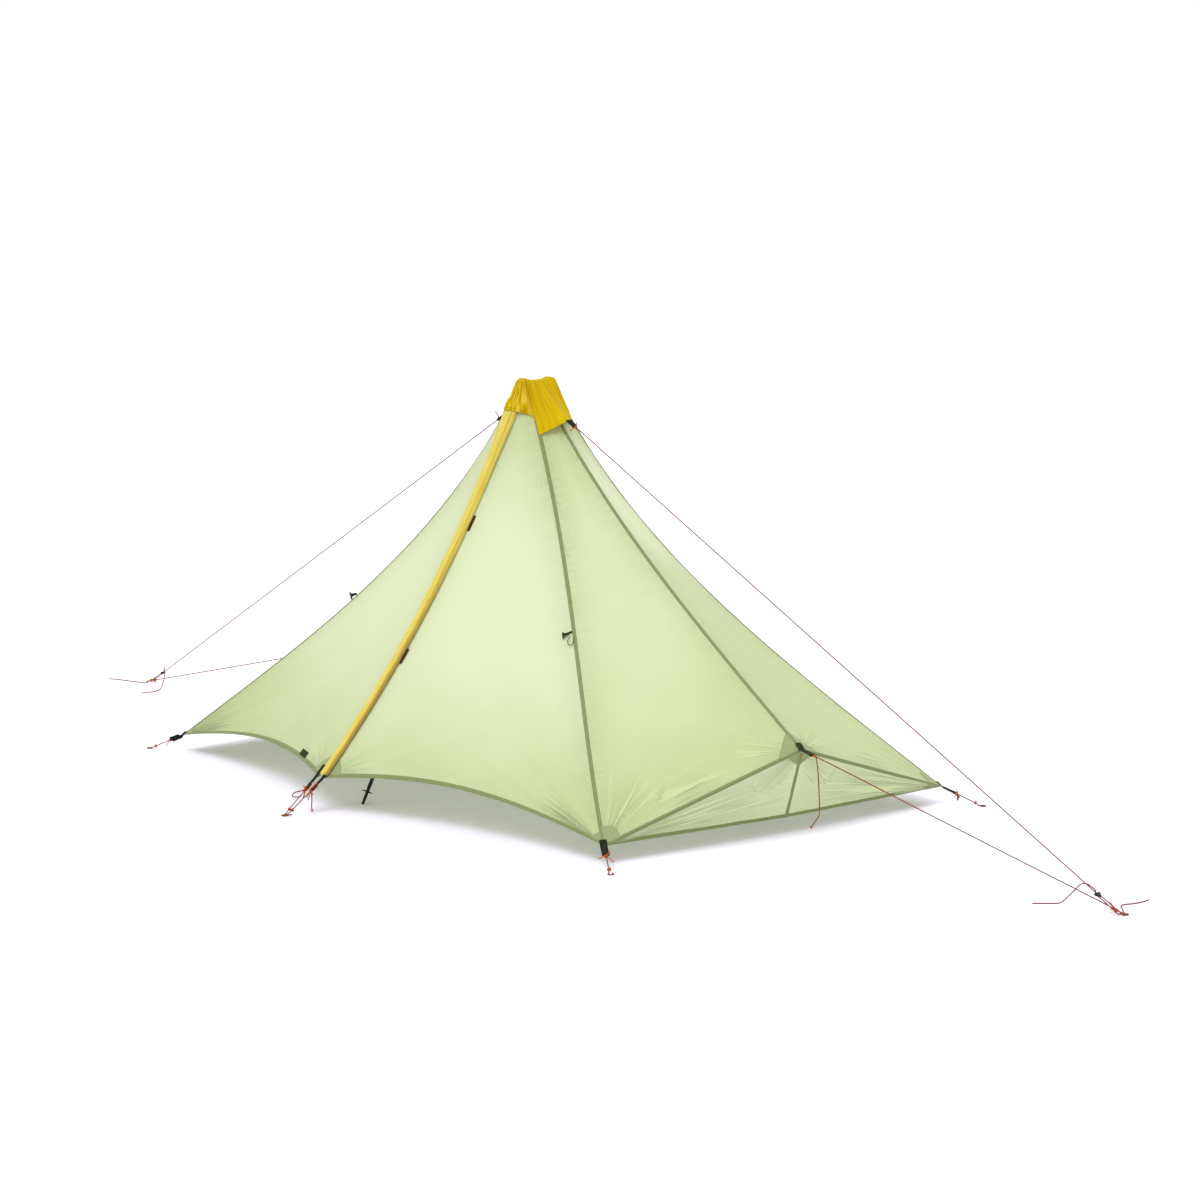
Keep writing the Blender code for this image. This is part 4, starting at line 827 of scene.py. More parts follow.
def make_end(side_x):
    end, seam = ENDS[side_x], end_seam(side_x)
    top, raised = seam(0.0), seam(1.0)
    held_by = [f"{end}_raised_tab"]
    across, down = np.meshgrid(steps(0, 1, 60), steps(0, 1, 110))
    for side_y, half in HALVES:
        edge = hip(side_x, side_y)
        corner = edge(1.0)
        points = end_surface(side_x, side_y)(across, down)
        folded = [corner_folds(points, corner, raised, edge(UP_SEAM), (0.0022, 0.55, 5, 0.35, 0.4),
                               (15, 0.34, 0.55, 0.35, 0.7)),
                  corner_folds(points, raised, corner, seam(UP_SEAM), (0.0018, 0.40, 4, 0.4, 1.7),
                               (15, 0.22, 0.3, 0.3, 0.6))]
        top_folds = (top, unit(edge(0.2) - top), unit(seam(0.2) - top), 0.0007, 0.5, 3, 0.5, 2.6)
        middle = corner + (raised - corner) * 0.47 + (top - raised) * 0.020
        rising = unit(unit(raised - corner) + vec(0, 0, 0.30))
        # Painted light and shade: darker at the low corner and by the top, the front half painted dimmer, and
        # the back half dim with a painted band of light across it.
        painted_level = painted_light_level(points, across, down, [(corner, 0.30, 0.35), (top, 0.25, 0.15)])
        if side_y < 0:
            painted_level = 0.12 + 0.50 * painted_level
        else:
            painted_level = 0.10 + 0.20 * painted_level + 0.70 * np.exp(-((down - 0.26) / 0.15) ** 2)
        panel(f"{end}_{half}", points, edge_share(across, down), folded,
              [seam_line(edge), seam_line(seam), straight(corner, raised)], [f"{end}_{half}_panel"], held_by,
              painted_level, more_folds=[top_folds],
              more_marks=[strokes(points, middle, rising, 0.016, 0.075, 1.2)])
    across, down = np.meshgrid(mirrored(1, 44), steps(0, 1, 18))
    points = lower_surface(side_x)(across, down)
    middle, corners = end_hem(side_x), [low_corner(side_x, side_y) for side_y in (-1, 1)]
    inside = soft_step((1 - abs(across)) / 0.05) * soft_step(down / 0.12) * soft_step((1 - down) / 0.12)
    folded = [corner_folds(points, corner, middle, raised, (0.0030, 0.75, 3.0, 0.5, 0.9 + i * 1.3),
                           (9, 0.75, 0.5, 0.42, 1.15)) for i, corner in enumerate(corners)]
    folded += [corner_folds(points, raised, corner, middle, (0.0016, 0.30, 3.0, 0.4, 2.0 + i),
                            (12, 0.30, 0.35, 0.3, 0.8)) for i, corner in enumerate(corners)]
    lines = [straight(corners[0], raised), straight(corners[1], raised), straight(corners[0], corners[1], 60)]
    # Painted light, darker towards the low panel's corners.
    panel(f"{end}_lower", points, inside * soft_step(abs(across) / 0.04 + 0.1), folded, lines,
          [f"{end}_lower_panel"], held_by, 0.98 - 0.20 * abs(across))


def make_rear(side_x):
    end, surface, edge, middle = ENDS[side_x], side_surface(side_x, 1), hip(side_x, 1), middle_arc(1)
    across, down = np.meshgrid(steps(0, 1, 70), steps(0, 1, 110))
    points = surface(across, down)
    corner, foot = edge(1.0), middle(1.0)
    hem = surface(steps(0, 1, 60), np.ones(61))
    folded = [corner_folds(points, corner, hem[ALONG_HEM], edge(UP_SEAM), (0.0024, 0.55, 5, 0.3, 1.1),
                           (20, 0.36, 0.14, 0.2, 1.1)),
              corner_folds(points, foot, hem[-ALONG_HEM], middle(UP_SEAM), (0.0024, 0.55, 5, 0.4, 2.4),
                           (18, 0.25, 0.25, 0.25, 0.9))]
    # Painted light and shade, darkest by the low corner at the hip.
    painted_level = painted_light_level(points, across * 0.62, down, [(corner, 0.34, 0.75)])
    panel(f"rear_{end}", points, edge_share(across, down), folded, [seam_line(edge), seam_line(middle), hem],
          [f"rear_{end}_panel"], ["rear_corner_tab"], painted_level)


def make_front(side):
    """The fixed panel and the door leaf, as one cloth whose columns keep to the fold line."""
    front, end, door = FRONTS[side], ENDS[side], DOORS[side]
    fixed = np.concatenate([steps(0, 0.88, 9), [0.92, 0.95, 0.975, 1.0]])
    leaf = np.concatenate([[0.004, 0.009, 0.015, 0.022, 0.032], steps(0.046, 1, 58)])
    downs = np.concatenate([steps(0, 1, 8)[:-1], steps(1, 2, 110)])
    across, down = np.meshgrid(fixed, downs)
    left = front.fixed_point(across, down)
    leaf_across, leaf_down = np.meshgrid(leaf, np.maximum(downs - 1, 0))
    right = front.leaf_point(leaf_across, leaf_down)
    top_rows = downs < 1
    right[top_rows] = left[top_rows][:, -1:]
    points = np.concatenate([left, right], 1)
    cut = front.cut(DOOR_TOP + (hem_share(FOLD_HEM) - DOOR_TOP) * np.maximum(downs - 1, 0))[:, None]
    whole = np.concatenate([across * cut, cut + (1 - cut) * leaf_across], 1)
    row = np.where(downs < 1, DOOR_TOP * downs, DOOR_TOP + (1 - DOOR_TOP) * (downs - 1))
    row = np.broadcast_to(row[:, None], whole.shape)
    corner, foot = front.hip(1.0), front.zip(1.0)
    hem = side_surface(side, -1)(steps(0, 1, 60), np.ones(61))
    # Painted shade: on the head side the low corner is painted much darker and the whole side dimmer.
    lean, shadow, light = (0.16, 0.30, 1.0) if side > 0 else (0.3, 1.45, 0.80)
    folded = [corner_folds(points, corner, hem[ALONG_HEM], front.hip(UP_SEAM), (0.0026, 0.60, 7, lean, 0.2),
                           (24, 0.36, 0.16, 0.2, 1.6)),
              corner_folds(points, foot, hem[-ALONG_HEM], front.zip(UP_SEAM), (0.0026, 0.55, 5, 0.35, 1.4),
                           (20, 0.22, 0.25, 0.25, 1.0))]
    painted_level = painted_light_level(points, 0.12 + whole * 0.68, row, [(corner, 0.30, shadow)]) * light
    panel(f"{end}_side_front", points, edge_share(whole, row), folded,
          [seam_line(front.hip), seam_line(front.zip), hem], [f"{end}_front_fixed_panel", f"{door}_panel"],
          [f"{door}_tab"], painted_level, side=side)


for side_x in (1, -1):
    make_end(side_x)
    make_rear(side_x)
    make_front(side_x)


# Felled seams and hems: bands that lie on the cloth


HEM_LIFTS, HEM_CLOTH = (0.0006, 0.0012, 0.0011, 0.0004), 0.0008


def band(name, columns, lifts, look="band", thickness=0.0006):
    """A band through columns of points, each column lifted off the cloth."""
    rows = np.stack(columns, 1)
    points = rows + grid_normals(rows) * np.asarray(lifts)[None, :, None]
    return thicken(grid_mesh(name, points, look), thickness)


def seam_band(name, first, second, edge, last=0.999):
    """A felled seam over the edge that two surfaces share, each taking (distance from it, down)."""
    down = steps(0.06, last, 110)
    reaches = [BAND_HALF, BAND_HALF * 0.62, BAND_HALF * 0.2]
    columns = [first(reach, down) for reach in reaches]
    columns += [edge(down)]
    columns += [second(reach, down) for reach in reaches[::-1]]
    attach(band(name, columns, (0.0005, 0.0012, 0.0013, 0.0015, 0.0013, 0.0012, 0.0005)), "fly")


def from_edge(surface, at_first):
    """A surface's points by their distance in metres from one of its side edges."""
    def at(distance, down):
        ends = [surface(np.full(down.shape, a), down) for a in (0.0, 1.0)]
        share = distance / np.maximum(np.linalg.norm(ends[1] - ends[0], axis=-1), distance * 2.2)
        return surface(share if at_first else 1 - share, down)
    return at


def above_edge(surface, distance, across):
    """A surface's points at a distance above its low edge."""
    foot, above = surface(across, np.ones(across.shape)), surface(across, np.full(across.shape, 0.97))
    step = np.maximum(np.linalg.norm(foot - above, axis=-1), 1e-5)
    return surface(across, 1 - 0.03 * np.minimum(distance / step, 30))


def in_low_panel(surface, distance, across, from_hem=False):
    """A low panel's points at a distance from its upper edge or its hem, never past the middle."""
    head, foot = surface(across, 0 * across), surface(across, 0 * across + 1)
    share = np.minimum(distance / np.maximum(np.linalg.norm(foot - head, axis=-1), 1e-4), 0.45)
    return surface(across, 1 - share if from_hem else share)


def make_end_seams(side_x):
    end, seam, low = ENDS[side_x], end_seam(side_x), lower_surface(side_x)
    uppers = {side_y: end_surface(side_x, side_y) for side_y in (-1, 1)}
    seam_band(f"{end}_end_seam", from_edge(uppers[-1], False), from_edge(uppers[1], False), seam, 0.985)
    across = steps(0.012, 0.985, 70)
    for side_y, half in HALVES:
        upper = uppers[side_y]
        seam_band(f"{end}_{half}_hip_seam", from_edge(side_surface(side_x, side_y), True),
                  from_edge(upper, True), hip(side_x, side_y))
        columns = [above_edge(upper, reach, 1 - across) for reach in (BAND_HALF, BAND_HALF * 0.5)]
        columns += [in_low_panel(low, reach, side_y * across) for reach in (0, BAND_HALF * 0.5, BAND_HALF)]
        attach(band(f"{end}_{half}_low_seam", columns, (0.0005, 0.0012, 0.0014, 0.0012, 0.0005)), "fly")
    line = straight(seam(1.0), end_hem(side_x), 30)[2:]
    columns = [line + vec(0, 1, 0) * d for d in (-0.0052, -0.003, 0, 0.003, 0.0052)]
    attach(band(f"{end}_low_middle_seam", columns, (0.0005, 0.0011, 0.0013, 0.0011, 0.0005)), "fly")
    across = mirrored(0.985, 60)
    columns = [in_low_panel(low, d, across, True) for d in (HEM_WIDTH * 0.8, HEM_WIDTH * 0.4, 0.0012, 0.0)]
    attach(band(f"{end}_low_hem", columns, HEM_LIFTS, "hem", HEM_CLOTH), "fly")


def make_hem(side_x, side_y, place):
    surface, across = side_surface(side_x, side_y), steps(0.006, 0.9945 if side_y < 0 else 1.0, 150)
    columns = [above_edge(surface, d, across) for d in (HEM_WIDTH, HEM_WIDTH * 0.5, 0.0012, 0.0)]
    obj = band(f"{ENDS[side_x]}_{place}_hem", columns, HEM_LIFTS, "hem", HEM_CLOTH)
    if side_y < 0:
        fold_blend(obj)
    else:
        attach(obj, "fly")


for side_x in (1, -1):
    make_end_seams(side_x)
seam_band("rear_middle_seam", from_edge(side_surface(1, 1), False), from_edge(side_surface(-1, 1), False),
          middle_arc(1))
for side_y, place in ((-1, "front"), (1, "rear")):
    for side_x in (1, -1):
        make_hem(side_x, side_y, place)


# Reinforcement patches at the corners


TREES = {}
PATCH_LIFT, PATCH_CLOTH = 0.0008, 0.0003


def tree_of(panel_name):
    if panel_name not in TREES:
        mesh = PANELS[panel_name].data
        TREES[panel_name] = BVHTree.FromPolygons([v.co for v in mesh.vertices],
                                                 [tuple(p.vertices) for p in mesh.polygons])
    return TREES[panel_name]


def patch(name, corner, ways, reaches, panel_name, body="fly", bulge=0.0, near=0.0, turn=None):
    """A patch between two ways out of a corner, on a panel. Its outer edge is straight, bulges, or turns."""
    tree = tree_of(panel_name)
    ways = [unit(way) for way in ways]
    ends = [way * reach for way, reach in zip(ways, reaches)]
    rows = []
    for share in steps(0.0, 1.0, 14):
        outer = (ends[0] * (1 - share) + ends[1] * share) * (1 + bulge * 4 * share * (1 - share))
        if turn:
            half = abs(2 * share - 1)
            outer = (ways[0] * turn[0] + ways[1] * turn[1]) * (1 - half) + ends[int(share > 0.5)] * half
        row = []
        for reach in steps(near, 1.0, 10):
            place, normal, _, _ = tree.find_nearest(Vector(corner + outer * reach))
            normal = normal if (place - Vector(INSIDE)).dot(normal) > 0 else -normal
            row.append(np.array(place + normal * PATCH_LIFT))
        rows.append(row)
    points = np.array(rows)
    none = np.zeros(points.shape[:2])
    # An even middle level of painted light, and painted wrinkle shade and highlight at a steady depth.
    layers = {"edge": none, "painted_light": none + 0.5, "wrinkled": none + 0.4,
              "pucker": points * 60, "wrinkle": points * 9}
    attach(thicken(grid_mesh(name, points, "patch", attributes=layers), PATCH_CLOTH), body)


def make_patches(side_x):
    end, seam, middle = ENDS[side_x], end_seam(side_x), end_hem(side_x)
    raised = seam(1.0)
    sides = {-1: f"{end}_side_front", 1: f"rear_{end}"}
    for side_y, half in HALVES:
        edge = hip(side_x, side_y)
        corner, name = edge(1.0), f"{end}_{half}"
        hem = side_surface(side_x, side_y)(np.array([0.06]), np.array([1.0]))[0] - corner
        up, low, back = edge(0.955) - corner, raised - corner, seam(0.96) - raised
        patch(f"{name}_side_patch", corner, (up, hem), (0.054, 0.066), sides[side_y])
        patch(f"{name}_end_patch", corner, (up, low), (0.070, 0.056), name, turn=(0.051, 0.039))
        patch(f"{name}_low_patch", corner, (low, middle - corner), (0.062, 0.066), f"{end}_lower")
        patch(f"{name}_raised_patch", raised, (back, -low), (0.078, 0.080), name)
        patch(f"{name}_raised_low_patch", raised, (-low, middle - raised), (0.052, 0.050), f"{end}_lower")
    for side_y, place, body in ((-1, "door", DOORS[side_x]), (1, "rear", "fly")):
        edge = middle_arc(side_y)
        foot = edge(1.0)
        hem = side_surface(side_x, side_y)(np.array([0.94]), np.array([1.0]))[0] - foot
        patch(f"{end}_{place}_patch", foot, (edge(0.955) - foot, hem), (0.074, 0.068), sides[side_y], body,
              bulge=0.32, near=0.08)


for side_x in (1, -1):
    make_patches(side_x)


# The cap


def make_cap():
    count, rows_down = 44, 30
    order = [("middle", 1, -1, True), ("end", 1, -1, False), ("end", 1, 1, True), ("middle", 1, 1, False),
             ("middle", -1, 1, True), ("end", -1, 1, False), ("end", -1, -1, True), ("middle", -1, -1, False)]
    parts, place = [], []
    for number, (kind, side_x, side_y, to_hip) in enumerate(order):
        along = steps(0, 1, count)[:-1]
        across = along if to_hip else 1 - along
        if kind == "middle":
            across = 1 - (1 - across) ** 1.7
        low, low_hip = (CAP_MIDDLE if kind == "middle" else CAP_END), CAP_HIPS[side_x, side_y]
        other = middle_arc(side_y) if kind == "middle" else cap_end(side_x)
        depth = low + (low_hip - low) * across ** (26 if kind == "middle" else 1)
        parts.append((other, hip(side_x, side_y), across, depth))
        place.append(number + along)
    place = np.concatenate(place)

    def ring(down):
        return np.concatenate([ruled(*edges, across, depth * down) for *edges, across, depth in parts])

    base = ring(0.0)
    top = RIDGE_HEIGHT - CAP_CLOTH - CAP_LIFT
    ridge_y = np.clip(base[:, 1], -POLE_TOP_Y, POLE_TOP_Y)
    ridge = np.stack([0 * ridge_y, ridge_y, 0 * ridge_y + TOP_RING_HEIGHT], -1)
    dip = 0.0075 * (1 - (ridge_y / POLE_TOP_Y) ** 2)
    rows = []
    for width in (0.10, 0.24, 0.38, 0.52, 0.66, 0.80, 0.91):
        placed = ridge + (base - ridge) * width
        rise = (1 - width ** 2.6) ** 0.62
        placed[:, 2] = TOP_RING_HEIGHT + (top - TOP_RING_HEIGHT) * rise - dip * (1 - width * 0.5)
        rows.append(placed)
    rows += [ring(down) for down in steps(0, 1, rows_down)]
    points = np.array(rows)
    for _ in range(10):
        smoother = (np.roll(points, 1, 1) + 2 * points + np.roll(points, -1, 1)) / 4
        for ridge_column in (2 * count, 6 * count):
            span = slice(ridge_column - 7, ridge_column + 8)
            points[8:, span] = smoother[8:, span]
    # Creases run down the cloth beside the flap, and a pleat down each corner from the dip between the humps
    fall = np.concatenate([-steps(0.35, 0.02, 6), steps(0, 1, rows_down)])[:, None]
    beside = np.abs((place + 4) % 8 - 4)
    beside = np.minimum(beside, np.abs(beside - 4))[None]
    wave = (np.sin(place * 29 + 0.7) * 0.6 + np.sin(place * 43 + 2.2) * 0.45)[None]
    wave = wave + 0.35 * np.sin(place * 17 + fall * 2)
    gather = (0.12 + 0.88 * soft_step((0.95 - beside) / 0.35)) * soft_step((fall + 0.3) / 0.5)
    height = (wave + 0.5) * gather * 0.0026
    for hip_place, sense in ((1, 1), (3, -1), (5, 1), (7, -1)):
        gap = (((place - hip_place + 4) % 8) - 4)[None] * sense
        fade = soft_step((fall + 0.35) / 0.3)
        height = height - 0.0022 * np.exp(-((gap + 0.13) / 0.06) ** 2) * fade
        height = height + 0.0052 * np.exp(-((gap - 0.03) / 0.07) ** 2) * fade * soft_step((1.1 - fall) / 0.6)
        height = height + 0.0016 * np.exp(-((gap - 0.24) / 0.04) ** 2) * fade * soft_step((fall - 0.25) / 0.3)
    normals = grid_normals(np.concatenate([points[:, -1:], points, points[:, :1]], 1))[:, 1:-1]
    outward = ((points - vec(0, 0, 1.1)) * normals).sum(-1, keepdims=True)
    normals = np.where(outward > 0, normals, -normals)
    # Over the top of the storm flap the cap stands off the front
    x, y = points[..., 0], points[..., 1]
    over = soft_step((x + 0.026) / 0.030) * soft_step((0.050 - x) / 0.012) * (y < 0)
    over = over * soft_step((fall - 0.35) / 0.4)
    height = CAP_LIFT + CAP_CLOTH / 2 + np.maximum(height, -0.0012) + 0.0078 * over
    points = points + normals * height[..., None]
    points[..., 2] = np.minimum(points[..., 2], RIDGE_HEIGHT - CAP_CLOTH / 2)
    layers = {"gathered": np.broadcast_to(gather, height.shape)}
    obj = grid_mesh("apex_cap_cloth", points, "cap", cyclic=True, attributes=layers, width=0.8)
    filling = bmesh.new()
    filling.from_mesh(obj.data)
    filling.verts.ensure_lookup_table()
    rim = [e for e in filling.edges
           if e.is_boundary and all(v.co.z > TOP_RING_HEIGHT + 0.004 for v in e.verts)]
    bmesh.ops.holes_fill(filling, edges=rim, sides=0)
    bmesh.ops.recalc_face_normals(filling, faces=filling.faces)
    filling.to_mesh(obj.data)
    filling.free()
    obj.data.shade_smooth()
    SHEETS.append((obj, 0.62, 0.18, area_of(obj), ["front_pole_grip", "rear_pole_grip"]))
    thicken(obj, CAP_CLOTH)
    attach(obj, "fly")
    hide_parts("apex_cap")


make_cap()


# The storm flap over the zip, with its fastening tabs


FLAP_TOP = 0.052
FLAP_BESIDE, FLAP_OVER, FLAP_FLARE = 0.011, 0.031, 0.006


def flap_rows():
    """Rows across the flap: sewn to the left leaf's edge, raised over the zip, and free beyond it."""
    left, right = FRONTS[-1], FRONTS[1]
    zip_line = middle_arc(-1)
    shares = steps(FLAP_TOP, 0.992, 150)
    rows = []
    for share in shares:
        centre = zip_line(share)
        ways = []
        for front, reach in ((left, FLAP_BESIDE), (right, FLAP_OVER)):
            other = front.hip(share)
            width = np.linalg.norm(other - centre)
            wider = reach + FLAP_FLARE * float(1 - soft_step((share - FLAP_TOP) / 0.16))
            wider = wider - (0.008 * share if front is left else 0.002)
            ways.append((unit(other - centre), min(wider, width * 0.8)))
        row = []
        for place in (-1, -0.9, -0.75, -0.5, -0.25, -0.08, 0.12, 0.4, 0.7, 1.0):
            way, reach = ways[0] if place < 0 else ways[1]
            row.append(centre + way * reach * abs(place))
        rows.append(row)
    return shares, np.array(rows)


def make_flap():
    shares, rows = flap_rows()
    normals = grid_normals(rows)
    lifts = np.array((0.0016, 0.0030, 0.0046, 0.0060, 0.0070, 0.0076, 0.0080, 0.0078, 0.0068, 0.0052))
    ripple = 0.0007 * np.sin(shares * 60)[:, None] * np.linspace(0, 1, 10)[None] ** 2
    across = np.linspace(-1, 1, 10)[None]
    gathers = np.sin(across * 9 + shares[:, None] * 40) + 0.6 * np.sin(across * 15 - shares[:, None] * 70 + 1)
    gathers = gathers * 0.0016 * (1 - soft_step((shares - FLAP_TOP) / 0.22))[:, None] * (1 - across ** 2)
    points = rows + normals * (lifts[None] + ripple + gathers)[..., None]
    obj = grid_mesh("storm_flap_cloth", points, "flap")
    SHEETS.append((obj, FLAP_BESIDE + FLAP_OVER, float(run_along(rows[:, 5])[-1]), area_of(obj),
                   ["left_door_panel", "zip_chain"]))
    thicken(obj, 0.0010)
    fold_blend(obj)
    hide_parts("storm_flap")
    out = normals[:, -1]
    for number, share in enumerate((0.335, 0.672)):
        index = int(np.argmin(abs(shares - share)))
        span = slice(index - 3, index + 4)
        edge = points[span, -1]
        way = unit(points[span, -1] - points[span, -2])
        under = edge - out[span] * 0.0012
        columns = [under - way * 0.010, under - way * 0.004, under + way * 0.002, under + way * 0.008]
        tab = grid_mesh(f"flap_tab_{number + 1}", np.stack(columns, 1), "brown_tape")
        thicken(tab, 0.0012)
        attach(tab, "left_door")


make_flap()


# The zip


ZIP_TOP, ZIP_FOOT, ZIP_TEETH, TOOTH_SIZE = 0.09, 0.985, 620, (0.0017, 0.00062, 0.0007)
TAPE_ROWS = ((0.0092, 0.0006), (0.0060, 0.0010), (0.0030, 0.0013), (0.0004, 0.0013))
TOOTH_CORNERS = ((-1, -1, -1), (1, -1, -1), (1, 1, -1), (-1, 1, -1),
                 (-0.7, -0.7, 1), (0.7, -0.7, 1), (0.7, 0.7, 1), (-0.7, 0.7, 1))
TOOTH_FACES = ((3, 2, 1, 0), (4, 5, 6, 7), (0, 1, 5, 4), (1, 2, 6, 5), (2, 3, 7, 6), (3, 0, 4, 7))


def make_zip():
    centre, line, across = middle_arc_centre(-1)[0], middle_arc(-1), vec(1, 0, 0)
    shares = steps(ZIP_TOP, ZIP_FOOT, 160)
    spine = line(shares)
    out = unit(centre - spine)
    narrow = (0.45 + 0.55 * soft_step((shares - ZIP_TOP) / 0.10))[:, None]
    places = [(-wide, high) for wide, high in TAPE_ROWS] + list(TAPE_ROWS[::-1])
    columns = [spine + across * wide * narrow + out * high for wide, high in places]
    tape = thicken(grid_mesh("zip_tape", np.stack(columns, 1), "zip_tape"), 0.0005)
    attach(tape, "left_door")
    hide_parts("zip_chain")
    verts, faces = [], []
    for number, share in enumerate(steps(ZIP_TOP, ZIP_FOOT, ZIP_TEETH)):
        spot = line(share)
        up = unit(centre - spot)
        ways = across, np.cross(up, across), up
        side = 1 if number % 2 else -1
        middle = spot + across * side * 0.0006 + up * 0.0021
        faces += [tuple(len(verts) + i for i in face) for face in TOOTH_FACES]
        for corner in TOOTH_CORNERS:
            offset = sum(way * c * size for way, c, size in zip(ways, corner, TOOTH_SIZE))
            verts.append(tuple(middle + offset))
    mesh = bpy.data.meshes.new("zip_teeth")
    mesh.from_pydata(verts, [], faces)
    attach(link("zip_teeth", mesh, "coil"), "left_door")


make_zip()


# Cords: tubes with their own coordinates, along the CAD source's routes


def smooth_route(points, span_steps):
    """Points along a smooth curve through the route's own points, nowhere below the ground."""
    points = [np.array(p, float) for p in points]
    spans = [b - a for a, b in zip(points, points[1:])]
    lengths = [np.linalg.norm(s) for s in spans]
    slopes = [spans[0] / lengths[0]]
    for a, b, m, n in zip(spans, spans[1:], lengths, lengths[1:]):
        slopes.append(a / (m + n) + b / (m + n))
    slopes.append(spans[-1] / lengths[-1])
    route = []
    for point, span, length, leaving, arriving in zip(points, spans, lengths, slopes, slopes[1:]):
        start, end = leaving * length, arriving * length
        for t in steps(0, 1, span_steps)[:-1]:
            bend = span * (3 * t ** 2 - 2 * t ** 3)
            route.append(point + start * (t - 2 * t ** 2 + t ** 3) + bend + end * (t ** 3 - t ** 2))
    route.append(points[-1])
    route = np.array(route)
    route[:, 2] = np.maximum(route[:, 2], CORD_REST)
    return route


BRAID_PITCH = 0.0042


def ring_faces(count, sides, closed=False):
    """Quads between rings of points, with a cap at each end unless the rings close on themselves."""
    faces = []
    for ring in range(count if closed else count - 1):
        a, b = ring * sides, (ring + 1) % count * sides
        faces += [(a + k, a + (k + 1) % sides, b + (k + 1) % sides, b + k) for k in range(sides)]
    if not closed:
        faces.append(tuple(range(sides))[::-1])
        faces.append(tuple((count - 1) * sides + k for k in range(sides)))
    return faces


def tube_mesh(name, line, radius, look, sides=10, closed=False):
    """A round tube through points, without twist."""
    ways = unit(np.roll(line, -1, 0) - np.roll(line, 1, 0)) if closed else unit(np.gradient(line, axis=0))
    side = unit(np.cross(ways[0], vec(0.31, 0.17, 0.94) if abs(ways[0][2]) < 0.9 else vec(1, 0, 0)))
    verts = []
    for point, way in zip(line, ways):
        side = unit(side - way * side.dot(way))
        other = np.cross(way, side)
        for angle in (2 * math.pi * k / sides for k in range(sides)):
            verts.append(tuple(point + (side * math.cos(angle) + other * math.sin(angle)) * radius))
    along = run_along(np.concatenate([line, line[:1]]) if closed else line) / BRAID_PITCH
    coords = [(4 * (k + a) / sides, along[ring + b]) for ring in range(len(along) - 1) for k in range(sides)
              for a, b in ((0, 0), (1, 0), (1, 1), (0, 1))]
    if not closed:
        coords += [(0, 0)] * (2 * sides)
    mesh = bpy.data.meshes.new(name)
    mesh.from_pydata(verts, [], ring_faces(len(line), sides, closed))
    mesh.uv_layers.new(name="cut").data.foreach_set("uv", np.array(coords, np.float32).ravel())
    mesh.shade_smooth()
    return link(name, mesh, look)


def knot(name, place, way, body, size=0.0042, look="knot", radius=0.0016):
    """A small tight knot on a cord."""
    way = unit(np.array(way, float))
    side = unit(np.cross(way, vec(0.2, 0.3, 0.93) if abs(way[2]) < 0.9 else vec(1, 0, 0)))
    other = np.cross(way, side)
    t = np.linspace(0, 2 * math.pi, 41)[:-1]
    x, y, z = np.sin(t) + 2 * np.sin(2 * t), np.cos(t) - 2 * np.cos(2 * t), -np.sin(3 * t) * 1.25
    scale = size / 3
    line = place + (x[:, None] * side + y[:, None] * other + z[:, None] * way) * scale
    lowest = line[:, 2].min() - radius
    if lowest < 0.0001:
        line[:, 2] += 0.0001 - lowest
    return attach(tube_mesh(name, line, radius, look, sides=8, closed=True), body)


def loose_ends(name, place, ways, body, reach=0.020, look="knot"):
    """Short ends of cord that stand out of a knot and droop."""
    pieces = []
    for number, way in enumerate(ways):
        way = unit(np.array(way, float))
        bend = unit(np.cross(way, vec(0, 0, 1))) * (0.3 if number % 2 else -0.3)
        line = [place + (way * t + bend * t * t) * reach - vec(0, 0, 0.35 * reach * t * t)
                for t in steps(0, 1, 8)]
        line = np.array(line)
        line[:, 2] = np.maximum(line[:, 2], CORD_REST)
        end = tube_mesh(f"{name}_{number + 1}", line, CORD_RADIUS * 0.95, look, sides=8)
        pieces.append(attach(end, body))
    return pieces


def cord(name, points, body, span_steps, node=None, look="cord",
         radius=CORD_RADIUS):
    line = smooth_route(points, span_steps)
    obj = tube_mesh(name, line, radius, look)
    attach(obj, body)
    if node:
        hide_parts(node)


TAB_START_GAP, CORD_END_GAP, PEG_OUT, MIDDLE_PEG_Y, PEG_DISTANCE = 0.0008, 0.0004, 0.123, 0.907, 2.378
PEG_EYE, EYE_TURN, LOCK_DISTANCE, LOCK_LENGTH, LOCK_CORD_OFFSET = 0.008, 0.75, 0.0765, 0.018, 0.0045
TWO_CORDS_APART, TAB_KNOT_OUT, THROAT_KNOT_BACK, SMALL_EDGE = 0.014, 0.0035, 0.018, 0.0004


def level_across(way):
    return unit(np.cross(vec(0, 0, 1), way))


def strap_mesh(name, spine, across, width, thickness, look):
    """A flat strap through points, with its width along one direction (or one for each point)."""
    spine = np.array(spine)
    ways = unit(np.gradient(spine, axis=0))
    across = np.broadcast_to(across, spine.shape)
    flat = unit(across - ways * (ways * across).sum(-1, keepdims=True))
    width = np.atleast_1d(width)
    widths = np.interp(steps(0, 1, len(spine) - 1), np.linspace(0, 1, len(width)), width)[:, None]
    columns = [spine + flat * widths * w for w in (-0.5, -0.42, 0, 0.42, 0.5)]
    return thicken(grid_mesh(name, np.stack(columns, 1), look), thickness)


def sewn_part(seam, height, shares=(0.988, 0.995), fall=1.0):
    """The sewn end of a tab's webbing, which lies on the foot of a seam."""
    lift = outward_normal(seam(1.0) - seam(0.0)) * height
    return [seam(shares[0]) + lift, seam(shares[1]) + lift * fall]


def smooth_points(points, count):
    return smooth_route([np.array(p) + vec(0, 0, 10) for p in points], count) - vec(0, 0, 10)


